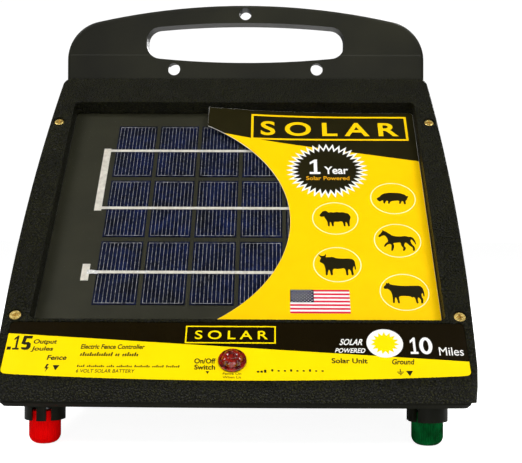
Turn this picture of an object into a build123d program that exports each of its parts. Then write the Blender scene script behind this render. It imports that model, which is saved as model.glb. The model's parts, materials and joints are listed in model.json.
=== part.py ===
from build123d import *
import math
import os

os.makedirs("parts", exist_ok=True)

# Solar fence energizer that hangs on a wall or post.
# Frame: the origin is the centre of the top hanging hole, on the wall plane (y = 0).
# +Z is up and the front looks towards -Y. All sizes are in millimetres.

# ---------------------------------------------------------------- driving dimensions
face_angle = 45.0  # slope of the solar face, from the vertical
face_sin = math.sin(math.radians(face_angle))
face_cos = math.cos(math.radians(face_angle))
panel_y = -101.5  # centre of the solar panel's surface
panel_z = -142.5

wall = 3.0
wide = 150.0  # half length of the cutting blocks across the case
tall = 400.0  # height of the cutting blocks
half_width = 134.3  # the sides bulge, and are widest here
bulge_z = -154.0
side_radius = 1000.0
case_bottom_z = -251.5
case_corner = 6.0

handle_thick = 16.0
handle_half = 127.4
handle_apex_z = 6.3
handle_arc = 480.0
handle_shoulder = 28.0
handle_edge = 2.0
handle_band_z = -30.0  # the plate is a little thicker below this line
handle_band_proud = 0.25
handle_wall = 3.0

slot_z = -20.7
slot_half_length = 70.5
slot_half_height = 14.3
slot_end_half = 10.4
slot_end_corner = 9.8

hole_radius = 4.3
hole_boss = 7.6
lower_hole_x = 51.0
lower_hole_z = -39.6
lower_holes = [(-lower_hole_x, lower_hole_z), (lower_hole_x, lower_hole_z)]
lower_hole_relief = 5.6  # keeps the slot's rim clear of the holes

face_h = 9.2  # bezel face above the panel's surface
face_top_v = 126.5
skirt = 12.0
lip_y = -211.5
half_lip = 130.7
lip_bow_radius = 2880.0
lip_corner = 8.0
lip_round = 8.0
lip_bottom_z = -248.0
housing_setback = 2.5
housing_front_wall_y = -196.5  # inside the front, behind the rim
handle_foot_z = -55.0  # the handle plate is welded to the top of the case here
cavity_top_z = -58.0
seam = 0.4
gasket_thick = 1.2
gasket_inset = 0.8
gasket_width = 3.6
edge_round = 1.2

recess_x = 235.3
recess_v = 198.0
recess_corner = 3.0
tray_wall = 2.5
tray_floor_h = -3.5
tray_floor = 2.8

strip_half = 127.6
strip_top_v = -101.0
strip_depth = 0.8
label_thick = 0.4
label_margin = 0.3
strip_bow_radius = 2035.0
strip_bottom_v = -142.2

screw_x = 126.0
screw_vs = (78.0, -96.0)
screw_head_r = 3.3
screw_head_thick = 2.3
screw_shank_r = 1.75
screw_length = 16.0
counterbore_r = 3.9
counterbore_depth = 2.9
screw_boss_r = 4.4
free_gap = 0.15

hollow_top_v = 109.0
hollow_bottom_v = -138.0
bezel_wall = 5.5
housing_inset = 2.3  # the housing's sides sit this far inside the bezel's
housing_chamfer = 2.0
handle_drop = 40.0
pocket_bottom_z = -48.0
screw_spots = [(side * screw_x, v) for side in (-1, 1) for v in screw_vs]
screw_seat_h = face_h - counterbore_depth
screw_post_length = 14.0
screw_head_round = 1.0
recess_cross = 3.6
recess_cross_depth = 1.2
gasket_end_gap = 0.8

lamp_x = -1.7
lamp_v = -128.5
lamp_hole_r = 4.2
cable_hole_x = -100.0
cable_hole_v = -54.0
cable_hole_r = 4.0

terminal_x = 105.7
terminal_y = -189.5
terminal_spots = [(-terminal_x, terminal_y), (terminal_x, terminal_y)]
terminal_boss_r = 9.0
terminal_boss_height = 2.5
stud_r = 3.0

switch_x = -15.0
switch_y = -165.0
switch_cut_x = 19.0
switch_cut_y = 13.0

board_x = 52.0
board_z = -153.5
board_wide = 120.0
board_high = 85.0
board_thick = 1.6
board_back = 11.0  # distance of the board's back from the wall plane
board_post_r = 3.2
board_screw_r = 1.25
board_post_inset = 5.0
board_post_x = board_wide / 2 - board_post_inset
board_post_z = board_high / 2 - board_post_inset
board_posts = [
    (board_x + i * board_post_x, board_z + j * board_post_z)
    for i in (-1, 1)
    for j in (-1, 1)
]

card_h = 0.6
card_thick = 1.2
card_left = -24.5
card_right = 117.0
card_top_v = 97.3
card_bottom_v = -94.5
card_cut_x = -68.5
card_cut_v = -10.5
card_cut_r = 99.5

panel_x = 234.5
panel_v = 197.2
tape_width = 10.0
tape_thick = 0.5
backing_thick = 2.4
cell_x = 26.0
cell_v = 52.0
cell_columns = 6
cell_rows = 3
cell_pitch_x = 28.55
cell_pitch_v = 56.0
cell_grid_x = -1.3
cell_grid_v = 2.0
cell_thick = 0.3
ribbon_width = 2.2
ribbon_thick = 0.2
ribbon_overhang = 3.5
strap_width = 4.6
end_tab_high = 13.5
film_h = -0.05
film_thick = 0.35

lens_r = 7.8
lens_flange = 1.4
lens_dome_r = 6.3
lens_high = 5.2
lamp_stem = 9.0
lamp_nut_r = 6.5
lamp_nut_thick = 3.0
led_r = 2.5
led_legs = 4.0
led_leg_wide = 0.5
led_leg_spread = 1.27

collar_r = 11.25
collar_inner_r = 9.3
collar_high = 8.7
collar_floor = 1.2
slot_width = 2.7
slot_offset = 3.9
ground_collar_turn = -62.0
stud_flange_r = 5.0
stud_flange_thick = 0.8
stud_reach = 12.0
stud_inside = 9.0
washer_r = 5.4
washer_thick = 0.9
terminal_gap = 0.2
running_gap = 0.05
knob_r = 8.75
knob_high = 18.8
knob_round = 5.0
insert_r = 4.6
insert_deep = 10.0
knob_relief = 3.5
lug_r = 6.0
lug_tail = 16.0
lug_width = 5.0
lug_thick = 1.0
nut_r = 5.7
nut_thick = 5.0

switch_deep = 15.5
switch_flange_x = 21.0
switch_flange_y = 15.0
switch_flange = 1.8
rocker_window_x = 16.0
rocker_window_y = 10.0
rocker_pocket = 7.2
rocker_pivot_z = -250.0
rocker_pin_r = 1.0
rocker_pin_length = 12.0
rocker_tilt = 10.0
rocker_half = 7.0
rocker_up = 2.0
rocker_down = 4.0
rocker_valley = 1.1
rocker_wide = 9.4
blade_spread = 4.5
blade_high = 7.0
blade_thick = 0.8
blade_wide = 4.8

battery_x = -65.0
battery_wide = 70.0
battery_deep = 47.0
battery_high = 101.0
battery_back_gap = 3.0
battery_lid_sunk = 1.2
battery_lid_edge = 3.0
battery_lid_margin = 10.0
pad_thick = 2.0
tab_spread = 27.0
tab_high = 6.0
tab_thick = 0.8
tab_wide = 4.75
spade_thick = 2.8
spade_wide = 6.2
spade_gap = 0.1
spade_crimp = 4.0
strap_z = -195.0
strap_high = 15.0
strap_thick = 1.2
strap_half = 36.6
strap_slack = 1.4
strap_foot = 11.0
strap_screw_r = 1.5
small_head_thick = 1.8
strap_screw_spots = [
    (battery_x - strap_half - strap_foot / 2 - 1, strap_z),
    (battery_x + strap_half + strap_foot / 2 + 1, strap_z),
]

capacitor_spot = (86.0, -134.0)
capacitor_r = 15.0
capacitor_high = 38.0
inductor_spot = (52.0, -128.0)
inductor_r = 9.0
inductor_high = 14.0
sink_spot = (20.0, -128.0)
sink_high = 22.0
sink_pitch = 5.5
sink_fins = 5
fin_thick = 1.2
sink_base = 3.0
fin_deep = 9.0
thyristor_gap = 1.0
thyristor_high = 15.0
thyristor_wide = 10.0
thyristor_tab = 1.3
thyristor_body = 3.2
thyristor_leg_wide = 0.9
thyristor_leg_thick = 0.6
thyristor_leg_high = 2.0
thyristor_leg_long = 4.0
pin_pitch = 2.54
chip_spot = (56.0, -166.0)
chip_long = 19.0
chip_wide = 6.4
chip_thick = 3.4
chip_gap = 0.5
chip_rows = 7.6
chip_pins = 7
chip_pin_wide = 0.6
chip_pin_reach = 1.4
chip_pin_high = 2.0
resistor_spot = (84.0, -160.0)
resistor_long = 9.0
resistor_r = 1.5
resistor_pitch = 5.0
resistor_count = 6
axial_gap = 0.4  # resistors and diodes lie this far off the board
diode_spot = (98.0, -160.0)
diode_long = 7.0
diode_r = 1.9
diode_count = 2
small_capacitor_spots = [(70.0, -152.0), (44.0, -152.0), (40.0, -184.0)]
small_capacitor_r = 4.0
small_capacitor_high = 12.0
header_spot = (14.0, -183.0)
header_wide = 34.0
header_high = 7.0
header_deep = 9.0
header_pitch = 4.0

core_wide = 60.0
core_high = 50.0
core_leg = 20.0
core_stack = 20.0
window_wide = 10.0
window_high = 30.0
bobbin_wall = 1.2
bobbin_reach = 9.5
flange_part = 0.1
winding_reach = 8.8
winding_high = 25.6
winding_corner = 4.0
bracket_thick = 1.2
bracket_gap = 0.8
bracket_foot = 11.0

lead_r = 1.1
thin_lead_r = 0.5
output_lead_r = 1.4
lead_share = 0.4
lead_bend_limit = 30.0

coil_x = 60.0
coil_y = -78.0
coil_post_r = 3.6
coil_screw_r = 1.5
coil_post_height = 3.0
coil_foot = 37.5
coil_posts = [(coil_x - coil_foot, coil_y), (coil_x + coil_foot, coil_y)]


def on_face(v, h):
    """Side view (y, z) of the point v up the slope from the panel's centre and h out of its surface."""
    return (panel_y + v * face_sin - h * face_cos, panel_z + v * face_cos + h * face_sin)


def v_at_y(y, h):
    """How far up the slope the plane at height h crosses this y."""
    return (y - panel_y + h * face_cos) / face_sin


def v_at_z(z, h):
    """How far up the slope the plane at height h crosses this z."""
    return (z - panel_z - h * face_sin) / face_cos


def slope_plane(h, x=0.0, v=0.0):
    """A plane parallel to the solar face: local x is +X, y runs up the slope and z points out."""
    return Plane(origin=(x, *on_face(v, h)), x_dir=(1, 0, 0), z_dir=(0, -face_cos, face_sin))


def side_profile(points):
    """A closed polygon of (y, z) points in the side view."""
    with BuildSketch(Plane.YZ) as profile:
        with BuildLine():
            Polyline(*points, close=True)
        make_face()
    return profile.sketch


def case_outline(inset):
    """Front view of the case: two bulging sides with a flat top and bottom."""
    top_z = on_face(face_top_v, face_h)[1]
    with BuildSketch(Plane.XZ) as outline:
        with Locations((half_width - side_radius, bulge_z)):
            Circle(side_radius - inset)
        with Locations((side_radius - half_width, bulge_z)):
            Circle(side_radius - inset, mode=Mode.INTERSECT)
        with Locations((0, (top_z + case_bottom_z) / 2)):
            Rectangle(4 * wide, top_z - case_bottom_z, mode=Mode.INTERSECT)
        fillet(outline.vertices().group_by(Axis.Y)[-1], radius=case_corner)
    return outline.sketch


def plan_outline(front_y, half_lip):
    """Top view of the case front: a slightly bowed lip with rounded corners."""
    with BuildSketch(Plane.XY.offset(case_bottom_z - 5)) as outline:
        with BuildLine():
            Polyline(
                (-half_lip, front_y - 5),
                (half_lip, front_y - 5),
                (half_lip + 10, front_y / 2),
                (half_lip + 10, 5),
                (-half_lip - 10, 5),
                (-half_lip - 10, front_y / 2),
                close=True,
            )
        make_face()
        with Locations((0, front_y + lip_bow_radius)):
            Circle(lip_bow_radius, mode=Mode.INTERSECT)
        fillet(outline.vertices().group_by(Axis.Y)[0], radius=lip_corner)
    return outline.sketch


def strip_outline(margin):
    """The printed strip along the lip: straight on top, bowed like the lip below."""
    with BuildSketch() as outline:
        with Locations((0, (strip_top_v + strip_bottom_v) / 2)):
            Rectangle(2 * (strip_half - margin), strip_top_v - strip_bottom_v - 2 * margin)
        with Locations((0, strip_bottom_v + strip_bow_radius)):
            Circle(strip_bow_radius - margin, mode=Mode.INTERSECT)
        fillet(outline.vertices(), radius=recess_corner - margin)
    return outline.sketch


def handle_outline(inset):
    """Front view of the handle plate: upright sides, round shoulders and a shallow arched top."""
    with BuildSketch() as outline:
        with Locations((0, handle_apex_z - handle_arc)):
            Circle(handle_arc)
        with Locations((0, handle_apex_z - 60)):
            Rectangle(2 * handle_half, 120, mode=Mode.INTERSECT)
        with Locations((0, -200)):
            Rectangle(4 * wide, 2 * (200 + handle_foot_z), mode=Mode.SUBTRACT)
        fillet(outline.vertices().group_by(Axis.Y)[-1], radius=handle_shoulder)
        if inset:
            offset(amount=-inset, mode=Mode.REPLACE)
    return outline.sketch


def slot_outline(outset):
    """The hand slot: straight ends with round corners, top and bottom bowed outwards."""
    bow_rise = slot_half_height - slot_end_half
    bow_radius = (slot_half_length**2 + bow_rise**2) / (2 * bow_rise)
    with BuildSketch() as outline:
        with Locations((0, slot_z + slot_half_height - bow_radius)):
            Circle(bow_radius)
        with Locations((0, slot_z - slot_half_height + bow_radius)):
            Circle(bow_radius, mode=Mode.INTERSECT)
        with Locations((0, slot_z)):
            Rectangle(2 * slot_half_length, 4 * slot_half_height, mode=Mode.INTERSECT)
        fillet(outline.vertices(), radius=slot_end_corner)
        if outset:
            offset(amount=outset, mode=Mode.REPLACE)
    return outline.sketch


# ---------------------------------------------------------------- front bezel
part_h = face_h - skirt  # the bezel ends on this plane
rim_h = part_h - gasket_thick  # the housing's rim starts on this one
bezel_back_y = -handle_thick - handle_band_proud - 0.3

bezel_side = [
    on_face(face_top_v, face_h),
    (bezel_back_y, on_face(face_top_v, face_h)[1]),
    on_face(v_at_y(bezel_back_y, part_h), part_h),
    on_face(v_at_z(lip_bottom_z, part_h), part_h),
    (lip_y - 5, lip_bottom_z),
    on_face(v_at_y(lip_y - 5, face_h), face_h),
]

# the housing: back wall, floor, and the rim that the bezel sits on
rim_top_v = v_at_y(-handle_thick, rim_h)
rim_bottom_v = v_at_z(lip_bottom_z - seam, rim_h)
open_top_v = rim_top_v - 4.0
open_bottom_v = v_at_y(housing_front_wall_y, rim_h)
housing_side = [
    (0, handle_foot_z),
    (-handle_thick, handle_foot_z),
    on_face(rim_top_v, rim_h),
    on_face(rim_bottom_v, rim_h),
    (lip_y, lip_bottom_z - seam),
    (lip_y, case_bottom_z),
    (0, case_bottom_z),
]
cavity_side = [
    (-wall, cavity_top_z),
    (-handle_thick + wall, cavity_top_z),
    (-handle_thick + wall, on_face(open_top_v, rim_h)[1]),
    on_face(open_top_v, rim_h),
    on_face(open_top_v, rim_h + wall),
    on_face(open_bottom_v, rim_h + wall),
    on_face(open_bottom_v, rim_h),
    (housing_front_wall_y, case_bottom_z + wall),
    (-wall, case_bottom_z + wall),
]
handle_band = [
    (-handle_thick + 1, handle_band_z + 1),
    (-handle_thick, handle_band_z + 1),
    (-handle_thick - handle_band_proud, handle_band_z),
    (-handle_thick - handle_band_proud, handle_foot_z),
    (-handle_thick + 1, handle_foot_z),
]

with BuildPart() as bezel_hollow:
    with BuildSketch(slope_plane(part_h - 5)):
        with Locations((0, (hollow_top_v + hollow_bottom_v) / 2)):
            Rectangle(2 * wide, hollow_top_v - hollow_bottom_v)
    extrude(amount=face_h - wall - part_h + 5)
    extrude(case_outline(bezel_wall), amount=-lip_y + 20, mode=Mode.INTERSECT)
    with BuildSketch(slope_plane(part_h - 5)):
        Rectangle(recess_x + 2 * tray_wall, recess_v + 2 * tray_wall)
        with Locations(*screw_spots):
            Circle(screw_boss_r)
    extrude(amount=face_h - part_h + 5, mode=Mode.SUBTRACT)

with BuildPart() as front_bezel:
    extrude(side_profile(bezel_side), amount=wide, both=True)
    extrude(case_outline(0), amount=-lip_y + 20, mode=Mode.INTERSECT)
    extrude(plan_outline(lip_y, half_lip), amount=tall, mode=Mode.INTERSECT)
    rim_edges = front_bezel.faces().filter_by(slope_plane(0)).sort_by(Axis.Z)[-1].edges()
    fillet(rim_edges.filter_by(lambda edge: edge.center().Y < lip_y + lip_round), radius=lip_round)
    rim_edges = front_bezel.faces().filter_by(slope_plane(0)).sort_by(Axis.Z)[-1].edges()
    fillet(rim_edges.filter_by(lambda edge: edge.center().Y > lip_y + lip_round + 2), radius=edge_round)
    add(bezel_hollow.part, mode=Mode.SUBTRACT)
    # the tray that holds the solar panel
    with BuildSketch(slope_plane(tray_floor_h - tray_floor)):
        Rectangle(recess_x + 2 * tray_wall, recess_v + 2 * tray_wall)
    extrude(amount=part_h - tray_floor_h + tray_floor + 1)
    with BuildSketch(slope_plane(tray_floor_h)):
        RectangleRounded(recess_x, recess_v, recess_corner)
    extrude(amount=2 * face_h, mode=Mode.SUBTRACT)
    # the sunk strip for the printed label, the lamp hole and the panel's cable hole
    with BuildSketch(slope_plane(face_h - strip_depth)):
        add(strip_outline(0))
    extrude(amount=2 * strip_depth, mode=Mode.SUBTRACT)
    with BuildSketch(slope_plane(part_h)):
        with Locations((lamp_x, lamp_v)):
            Circle(lamp_hole_r)
    extrude(amount=2 * face_h, mode=Mode.SUBTRACT)
    with BuildSketch(slope_plane(tray_floor_h - 2 * tray_floor)):
        with Locations((cable_hole_x, cable_hole_v)):
            Circle(cable_hole_r)
    extrude(amount=3 * tray_floor, mode=Mode.SUBTRACT)
    # counterbored screw holes
    with BuildSketch(slope_plane(part_h - 5)):
        with Locations(*screw_spots):
            Circle(screw_shank_r + free_gap)
    extrude(amount=3 * face_h, mode=Mode.SUBTRACT)
    with BuildSketch(slope_plane(face_h - counterbore_depth)):
        with Locations(*screw_spots):
            Circle(counterbore_r)
    extrude(amount=2 * counterbore_depth, mode=Mode.SUBTRACT)
front_bezel.part.label = "front_bezel"
export_step(front_bezel.part, "parts/front_bezel.step")

# ---------------------------------------------------------------- carrying handle, welded to the case
with BuildPart() as handle_pocket:
    with BuildSketch(Plane.XZ):
        add(handle_outline(handle_wall))
        with Locations((0, pocket_bottom_z - handle_drop)):
            Rectangle(2 * wide, 2 * handle_drop, mode=Mode.SUBTRACT)
        add(slot_outline(handle_wall), mode=Mode.SUBTRACT)
        Circle(hole_boss, mode=Mode.SUBTRACT)
        with Locations(*lower_holes):
            Circle(lower_hole_relief)
    extrude(amount=handle_thick - handle_wall)

with BuildPart() as carrying_handle:
    with BuildSketch(Plane.XZ):
        add(handle_outline(0))
    extrude(amount=handle_thick)
    front_rim = carrying_handle.faces().filter_by(Plane.XZ).sort_by(Axis.Y)[0].edges()
    fillet(front_rim.filter_by(lambda edge: edge.center().Z > handle_foot_z + 1), radius=handle_edge)
    # a slightly prouder band where the plate meets the case
    extrude(side_profile(handle_band), amount=handle_half - handle_edge, both=True)
    # the hand slot and the hanging holes, and the hollow back
    with BuildSketch(Plane.XZ.offset(-5)):
        add(slot_outline(0))
        Circle(hole_radius)
    extrude(amount=handle_thick + 10, mode=Mode.SUBTRACT)
    with BuildSketch(Plane.XZ.offset(handle_thick - handle_wall)):
        with Locations(*lower_holes):
            Circle(hole_radius)
    extrude(amount=2 * handle_wall, mode=Mode.SUBTRACT)
    add(handle_pocket.part, mode=Mode.SUBTRACT)
carrying_handle.part.label = "carrying_handle"
export_step(carrying_handle.part, "parts/carrying_handle.step")

# ---------------------------------------------------------------- rear housing
with BuildPart() as housing_cavity:
    extrude(side_profile(cavity_side), amount=wide, both=True)
    extrude(case_outline(housing_inset + wall), amount=-lip_y + 20, mode=Mode.INTERSECT)

with BuildPart() as screw_posts:
    with BuildSketch(slope_plane(rim_h)):
        with Locations(*screw_spots):
            Circle(screw_boss_r)
    extrude(amount=-screw_post_length)
    extrude(case_outline(housing_inset + free_gap), amount=-lip_y + 20, mode=Mode.INTERSECT)

with BuildPart() as rear_housing:
    extrude(side_profile(housing_side), amount=wide, both=True)
    extrude(case_outline(housing_inset), amount=-lip_y + 20, mode=Mode.INTERSECT)
    extrude(
        plan_outline(lip_y + housing_setback, half_lip - housing_inset), amount=tall, mode=Mode.INTERSECT
    )
    bottom_edges = rear_housing.faces().filter_by(Plane.XY).sort_by(Axis.Z)[0].edges()
    chamfer(bottom_edges.filter_by(lambda edge: edge.center().Y < -1), length=housing_chamfer)
    add(housing_cavity.part, mode=Mode.SUBTRACT)
    add(screw_posts.part)
    with BuildSketch(slope_plane(rim_h + 1)):
        with Locations(*screw_spots):
            Circle(screw_shank_r + free_gap / 3)
    extrude(amount=-screw_post_length, mode=Mode.SUBTRACT)
    # posts for the circuit board on the back wall, and for the transformer on the floor
    with BuildSketch(Plane.XZ.offset(wall - 1)):
        with Locations(*board_posts):
            Circle(board_post_r)
    extrude(amount=board_back - wall + 1)
    with BuildSketch(Plane.XZ.offset(wall - 1)):
        with Locations(*board_posts):
            Circle(board_screw_r + free_gap / 3)
    extrude(amount=board_back - wall + 2, mode=Mode.SUBTRACT)
    with BuildSketch(Plane.XY.offset(case_bottom_z + wall - 1)):
        with Locations(*coil_posts):
            Circle(coil_post_r)
    extrude(amount=coil_post_height + 1)
    with BuildSketch(Plane.XY.offset(case_bottom_z + wall + 0.5)):
        with Locations(*coil_posts):
            Circle(coil_screw_r + free_gap / 3)
    extrude(amount=coil_post_height + 1, mode=Mode.SUBTRACT)
    # bosses and holes for the two output terminals, and the switch cut-out
    with BuildSketch(Plane.XY.offset(case_bottom_z + wall - 1)):
        with Locations(*terminal_spots):
            Circle(terminal_boss_r)
    extrude(amount=terminal_boss_height + 1)
    with BuildSketch(Plane.XY.offset(case_bottom_z - 1)):
        with Locations(*terminal_spots):
            Circle(stud_r + free_gap)
        with Locations((switch_x, switch_y)):
            Rectangle(switch_cut_x, switch_cut_y)
    extrude(amount=terminal_boss_height + wall + 2, mode=Mode.SUBTRACT)
rear_housing.part.label = "rear_housing"
export_step(rear_housing.part, "parts/rear_housing.step")

# ---------------------------------------------------------------- seal and bezel screws
with BuildPart() as gasket_opening:
    with BuildSketch(slope_plane(rim_h - 1)):
        with Locations((0, (open_top_v + open_bottom_v) / 2)):
            Rectangle(2 * wide, open_top_v - open_bottom_v)
    extrude(amount=gasket_thick + 2)
    opening_inset = housing_inset + gasket_inset + gasket_width
    extrude(case_outline(opening_inset), amount=-lip_y + 20, mode=Mode.INTERSECT)

with BuildPart() as rim_gasket:
    with BuildSketch(slope_plane(rim_h)):
        with Locations((0, (rim_top_v + rim_bottom_v) / 2)):
            Rectangle(2 * wide, rim_top_v - rim_bottom_v - 2 * gasket_end_gap)
    extrude(amount=gasket_thick)
    extrude(case_outline(housing_inset + gasket_inset), amount=-lip_y + 20, mode=Mode.INTERSECT)
    add(gasket_opening.part, mode=Mode.SUBTRACT)
    with BuildSketch(slope_plane(rim_h - 1)):
        with Locations(*screw_spots):
            Circle(screw_shank_r + 2 * free_gap)
    extrude(amount=gasket_thick + 2, mode=Mode.SUBTRACT)
rim_gasket.part.label = "rim_gasket"
export_step(rim_gasket.part, "parts/rim_gasket.step")

with BuildPart() as bezel_screws:
    with BuildSketch(slope_plane(screw_seat_h)):
        with Locations(*screw_spots):
            Circle(screw_head_r)
    extrude(amount=screw_head_thick)
    head_tops = bezel_screws.faces().filter_by(slope_plane(0)).group_by(Axis.Z)[-1]
    fillet(head_tops.edges(), radius=screw_head_round)
    with BuildSketch(slope_plane(screw_seat_h)):
        with Locations(*screw_spots):
            Circle(screw_shank_r)
    extrude(amount=-screw_length)
    with BuildSketch(slope_plane(screw_seat_h + screw_head_thick - recess_cross_depth)):
        with Locations(*screw_spots):
            Rectangle(recess_cross, recess_cross / 4)
            Rectangle(recess_cross / 4, recess_cross)
    extrude(amount=2 * recess_cross_depth, mode=Mode.SUBTRACT)
bezel_screws.part.label = "bezel_screws"
export_step(bezel_screws.part, "parts/bezel_screws.step")

# ---------------------------------------------------------------- printed label and display card
with BuildPart() as front_label:
    with BuildSketch(slope_plane(face_h - strip_depth)):
        add(strip_outline(label_margin))
        with Locations((lamp_x, lamp_v)):
            Circle(lamp_hole_r, mode=Mode.SUBTRACT)
    extrude(amount=label_thick)
front_label.part.label = "front_label"
export_step(front_label.part, "parts/front_label.step")

with BuildPart() as display_card:
    with BuildSketch(slope_plane(card_h)):
        with Locations(((card_left + card_right) / 2, (card_top_v + card_bottom_v) / 2)):
            Rectangle(card_right - card_left, card_top_v - card_bottom_v)
        with Locations((card_cut_x, card_cut_v)):
            Circle(card_cut_r, mode=Mode.SUBTRACT)
    extrude(amount=card_thick)
    right_edges = display_card.edges().filter_by(Axis(slope_plane(0).origin, slope_plane(0).z_dir))
    fillet(right_edges.group_by(Axis.X)[-1], radius=recess_corner)
display_card.part.label = "display_card"
export_step(display_card.part, "parts/display_card.step")

# ---------------------------------------------------------------- solar panel, from the tray floor up
with BuildPart() as panel_tape:
    with BuildSketch(slope_plane(tray_floor_h)):
        Rectangle(panel_x - 4, panel_v - 4)
        Rectangle(panel_x - 4 - 2 * tape_width, panel_v - 4 - 2 * tape_width, mode=Mode.SUBTRACT)
    extrude(amount=tape_thick)
panel_tape.part.label = "panel_tape"
export_step(panel_tape.part, "parts/panel_tape.step")

with BuildPart() as panel_backing:
    with BuildSketch(slope_plane(tray_floor_h + tape_thick)):
        RectangleRounded(panel_x, panel_v, recess_corner)
    extrude(amount=backing_thick)
panel_backing.part.label = "panel_backing"
export_step(panel_backing.part, "parts/panel_backing.step")

cell_h = tray_floor_h + tape_thick + backing_thick
with BuildPart() as solar_cells:
    with BuildSketch(slope_plane(cell_h, cell_grid_x, cell_grid_v)):
        with GridLocations(cell_pitch_x, cell_pitch_v, cell_columns, cell_rows):
            Rectangle(cell_x, cell_v)
    extrude(amount=cell_thick)
solar_cells.part.label = "solar_cells"
export_step(solar_cells.part, "parts/solar_cells.step")

# the flat ribbons that join each row of cells, one solid a row
row_vs = [cell_grid_v + i * cell_pitch_v for i in (1, 0, -1)]
grid_left = cell_grid_x - (cell_columns - 1) / 2 * cell_pitch_x - cell_x / 2
grid_right = cell_grid_x + (cell_columns - 1) / 2 * cell_pitch_x + cell_x / 2
with BuildPart() as bus_ribbons:
    with BuildSketch(slope_plane(cell_h + cell_thick)):
        for row_v in row_vs:
            with Locations(((grid_left + grid_right) / 2, row_v)):
                Rectangle(grid_right - grid_left + 2 * ribbon_overhang, ribbon_width)
    extrude(amount=ribbon_thick)
bus_ribbons.part.label = "bus_ribbons"
export_step(bus_ribbons.part, "parts/bus_ribbons.step")

# wide straps beside the cells: two cross-straps and the two end tabs
strap_left_x = grid_left - ribbon_overhang - strap_width / 2
strap_right_x = grid_right + ribbon_overhang + strap_width / 2
with BuildPart() as string_straps:
    with BuildSketch(slope_plane(cell_h)):
        with Locations((strap_left_x, (row_vs[0] + row_vs[1]) / 2)):
            Rectangle(strap_width, cell_pitch_v + 2 * ribbon_width)
        with Locations((strap_right_x, (row_vs[1] + row_vs[2]) / 2)):
            Rectangle(strap_width, cell_pitch_v + 2 * ribbon_width)
        with Locations((strap_left_x - 1, row_vs[2]), (strap_right_x, row_vs[0])):
            Rectangle(strap_width, end_tab_high)
    extrude(amount=cell_thick)
string_straps.part.label = "string_straps"
export_step(string_straps.part, "parts/string_straps.step")

with BuildPart() as panel_film:
    with BuildSketch(slope_plane(film_h)):
        RectangleRounded(panel_x, panel_v, recess_corner)
    extrude(amount=film_thick)
panel_film.part.label = "panel_film"
export_step(panel_film.part, "parts/panel_film.step")

# ---------------------------------------------------------------- indicator lamp
lamp_plane = slope_plane(face_h - strip_depth + label_thick, lamp_x, lamp_v)
lens_side = [
    (led_r + 0.1, -lamp_stem),
    (lamp_hole_r - 0.2, -lamp_stem),
    (lamp_hole_r - 0.2, 0),
    (lens_r, 0),
    (lens_r, lens_flange),
    (lens_r - 0.6, lens_flange + 0.5),
    (lens_dome_r, lens_flange + 0.7),
    (lens_dome_r * 0.93, lens_high * 0.62),
    (lens_dome_r * 0.68, lens_high * 0.88),
    (lens_dome_r * 0.34, lens_high),
    (0, lens_high),
    (0, 1.5),
    (led_r + 0.1, 0),
]
lamp_side_plane = Plane(origin=lamp_plane.origin, x_dir=(1, 0, 0), z_dir=lamp_plane.y_dir * -1)
with BuildPart() as lamp_lens:
    with BuildSketch(lamp_side_plane):
        with BuildLine():
            Polyline(*lens_side, close=True)
        make_face()
    revolve(axis=Axis(lamp_plane.origin, lamp_plane.z_dir))
lamp_lens.part.label = "lamp_lens"
export_step(lamp_lens.part, "parts/lamp_lens.step")

with BuildPart() as lamp_nut:
    with BuildSketch(slope_plane(face_h - wall - lamp_nut_thick - seam, lamp_x, lamp_v)):
        RegularPolygon(lamp_nut_r, 6)
        Circle(lamp_hole_r, mode=Mode.SUBTRACT)
    extrude(amount=lamp_nut_thick)
lamp_nut.part.label = "lamp_nut"
export_step(lamp_nut.part, "parts/lamp_nut.step")

with BuildPart() as indicator_led:
    with BuildSketch(lamp_plane.offset(-lamp_stem - 1)):
        Circle(led_r)
    extrude(amount=lamp_stem - 1)
    fillet(indicator_led.edges().sort_by(Axis.Z)[-1], radius=led_r * 0.9)
    with BuildSketch(lamp_plane.offset(-lamp_stem - 1)):
        with Locations((-led_leg_spread, 0), (led_leg_spread, 0)):
            Rectangle(led_leg_wide, led_leg_wide)
    extrude(amount=-led_legs)
indicator_led.part.label = "indicator_led"
export_step(indicator_led.part, "parts/indicator_led.step")

# ---------------------------------------------------------------- output terminals, under the case
collar_top = case_bottom_z
collar_floor_z = collar_top - collar_floor
flange_z = collar_floor_z - stud_flange_thick
washer_top = flange_z - terminal_gap
knob_top = washer_top - washer_thick - terminal_gap
boss_top = case_bottom_z + wall + terminal_boss_height

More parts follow.
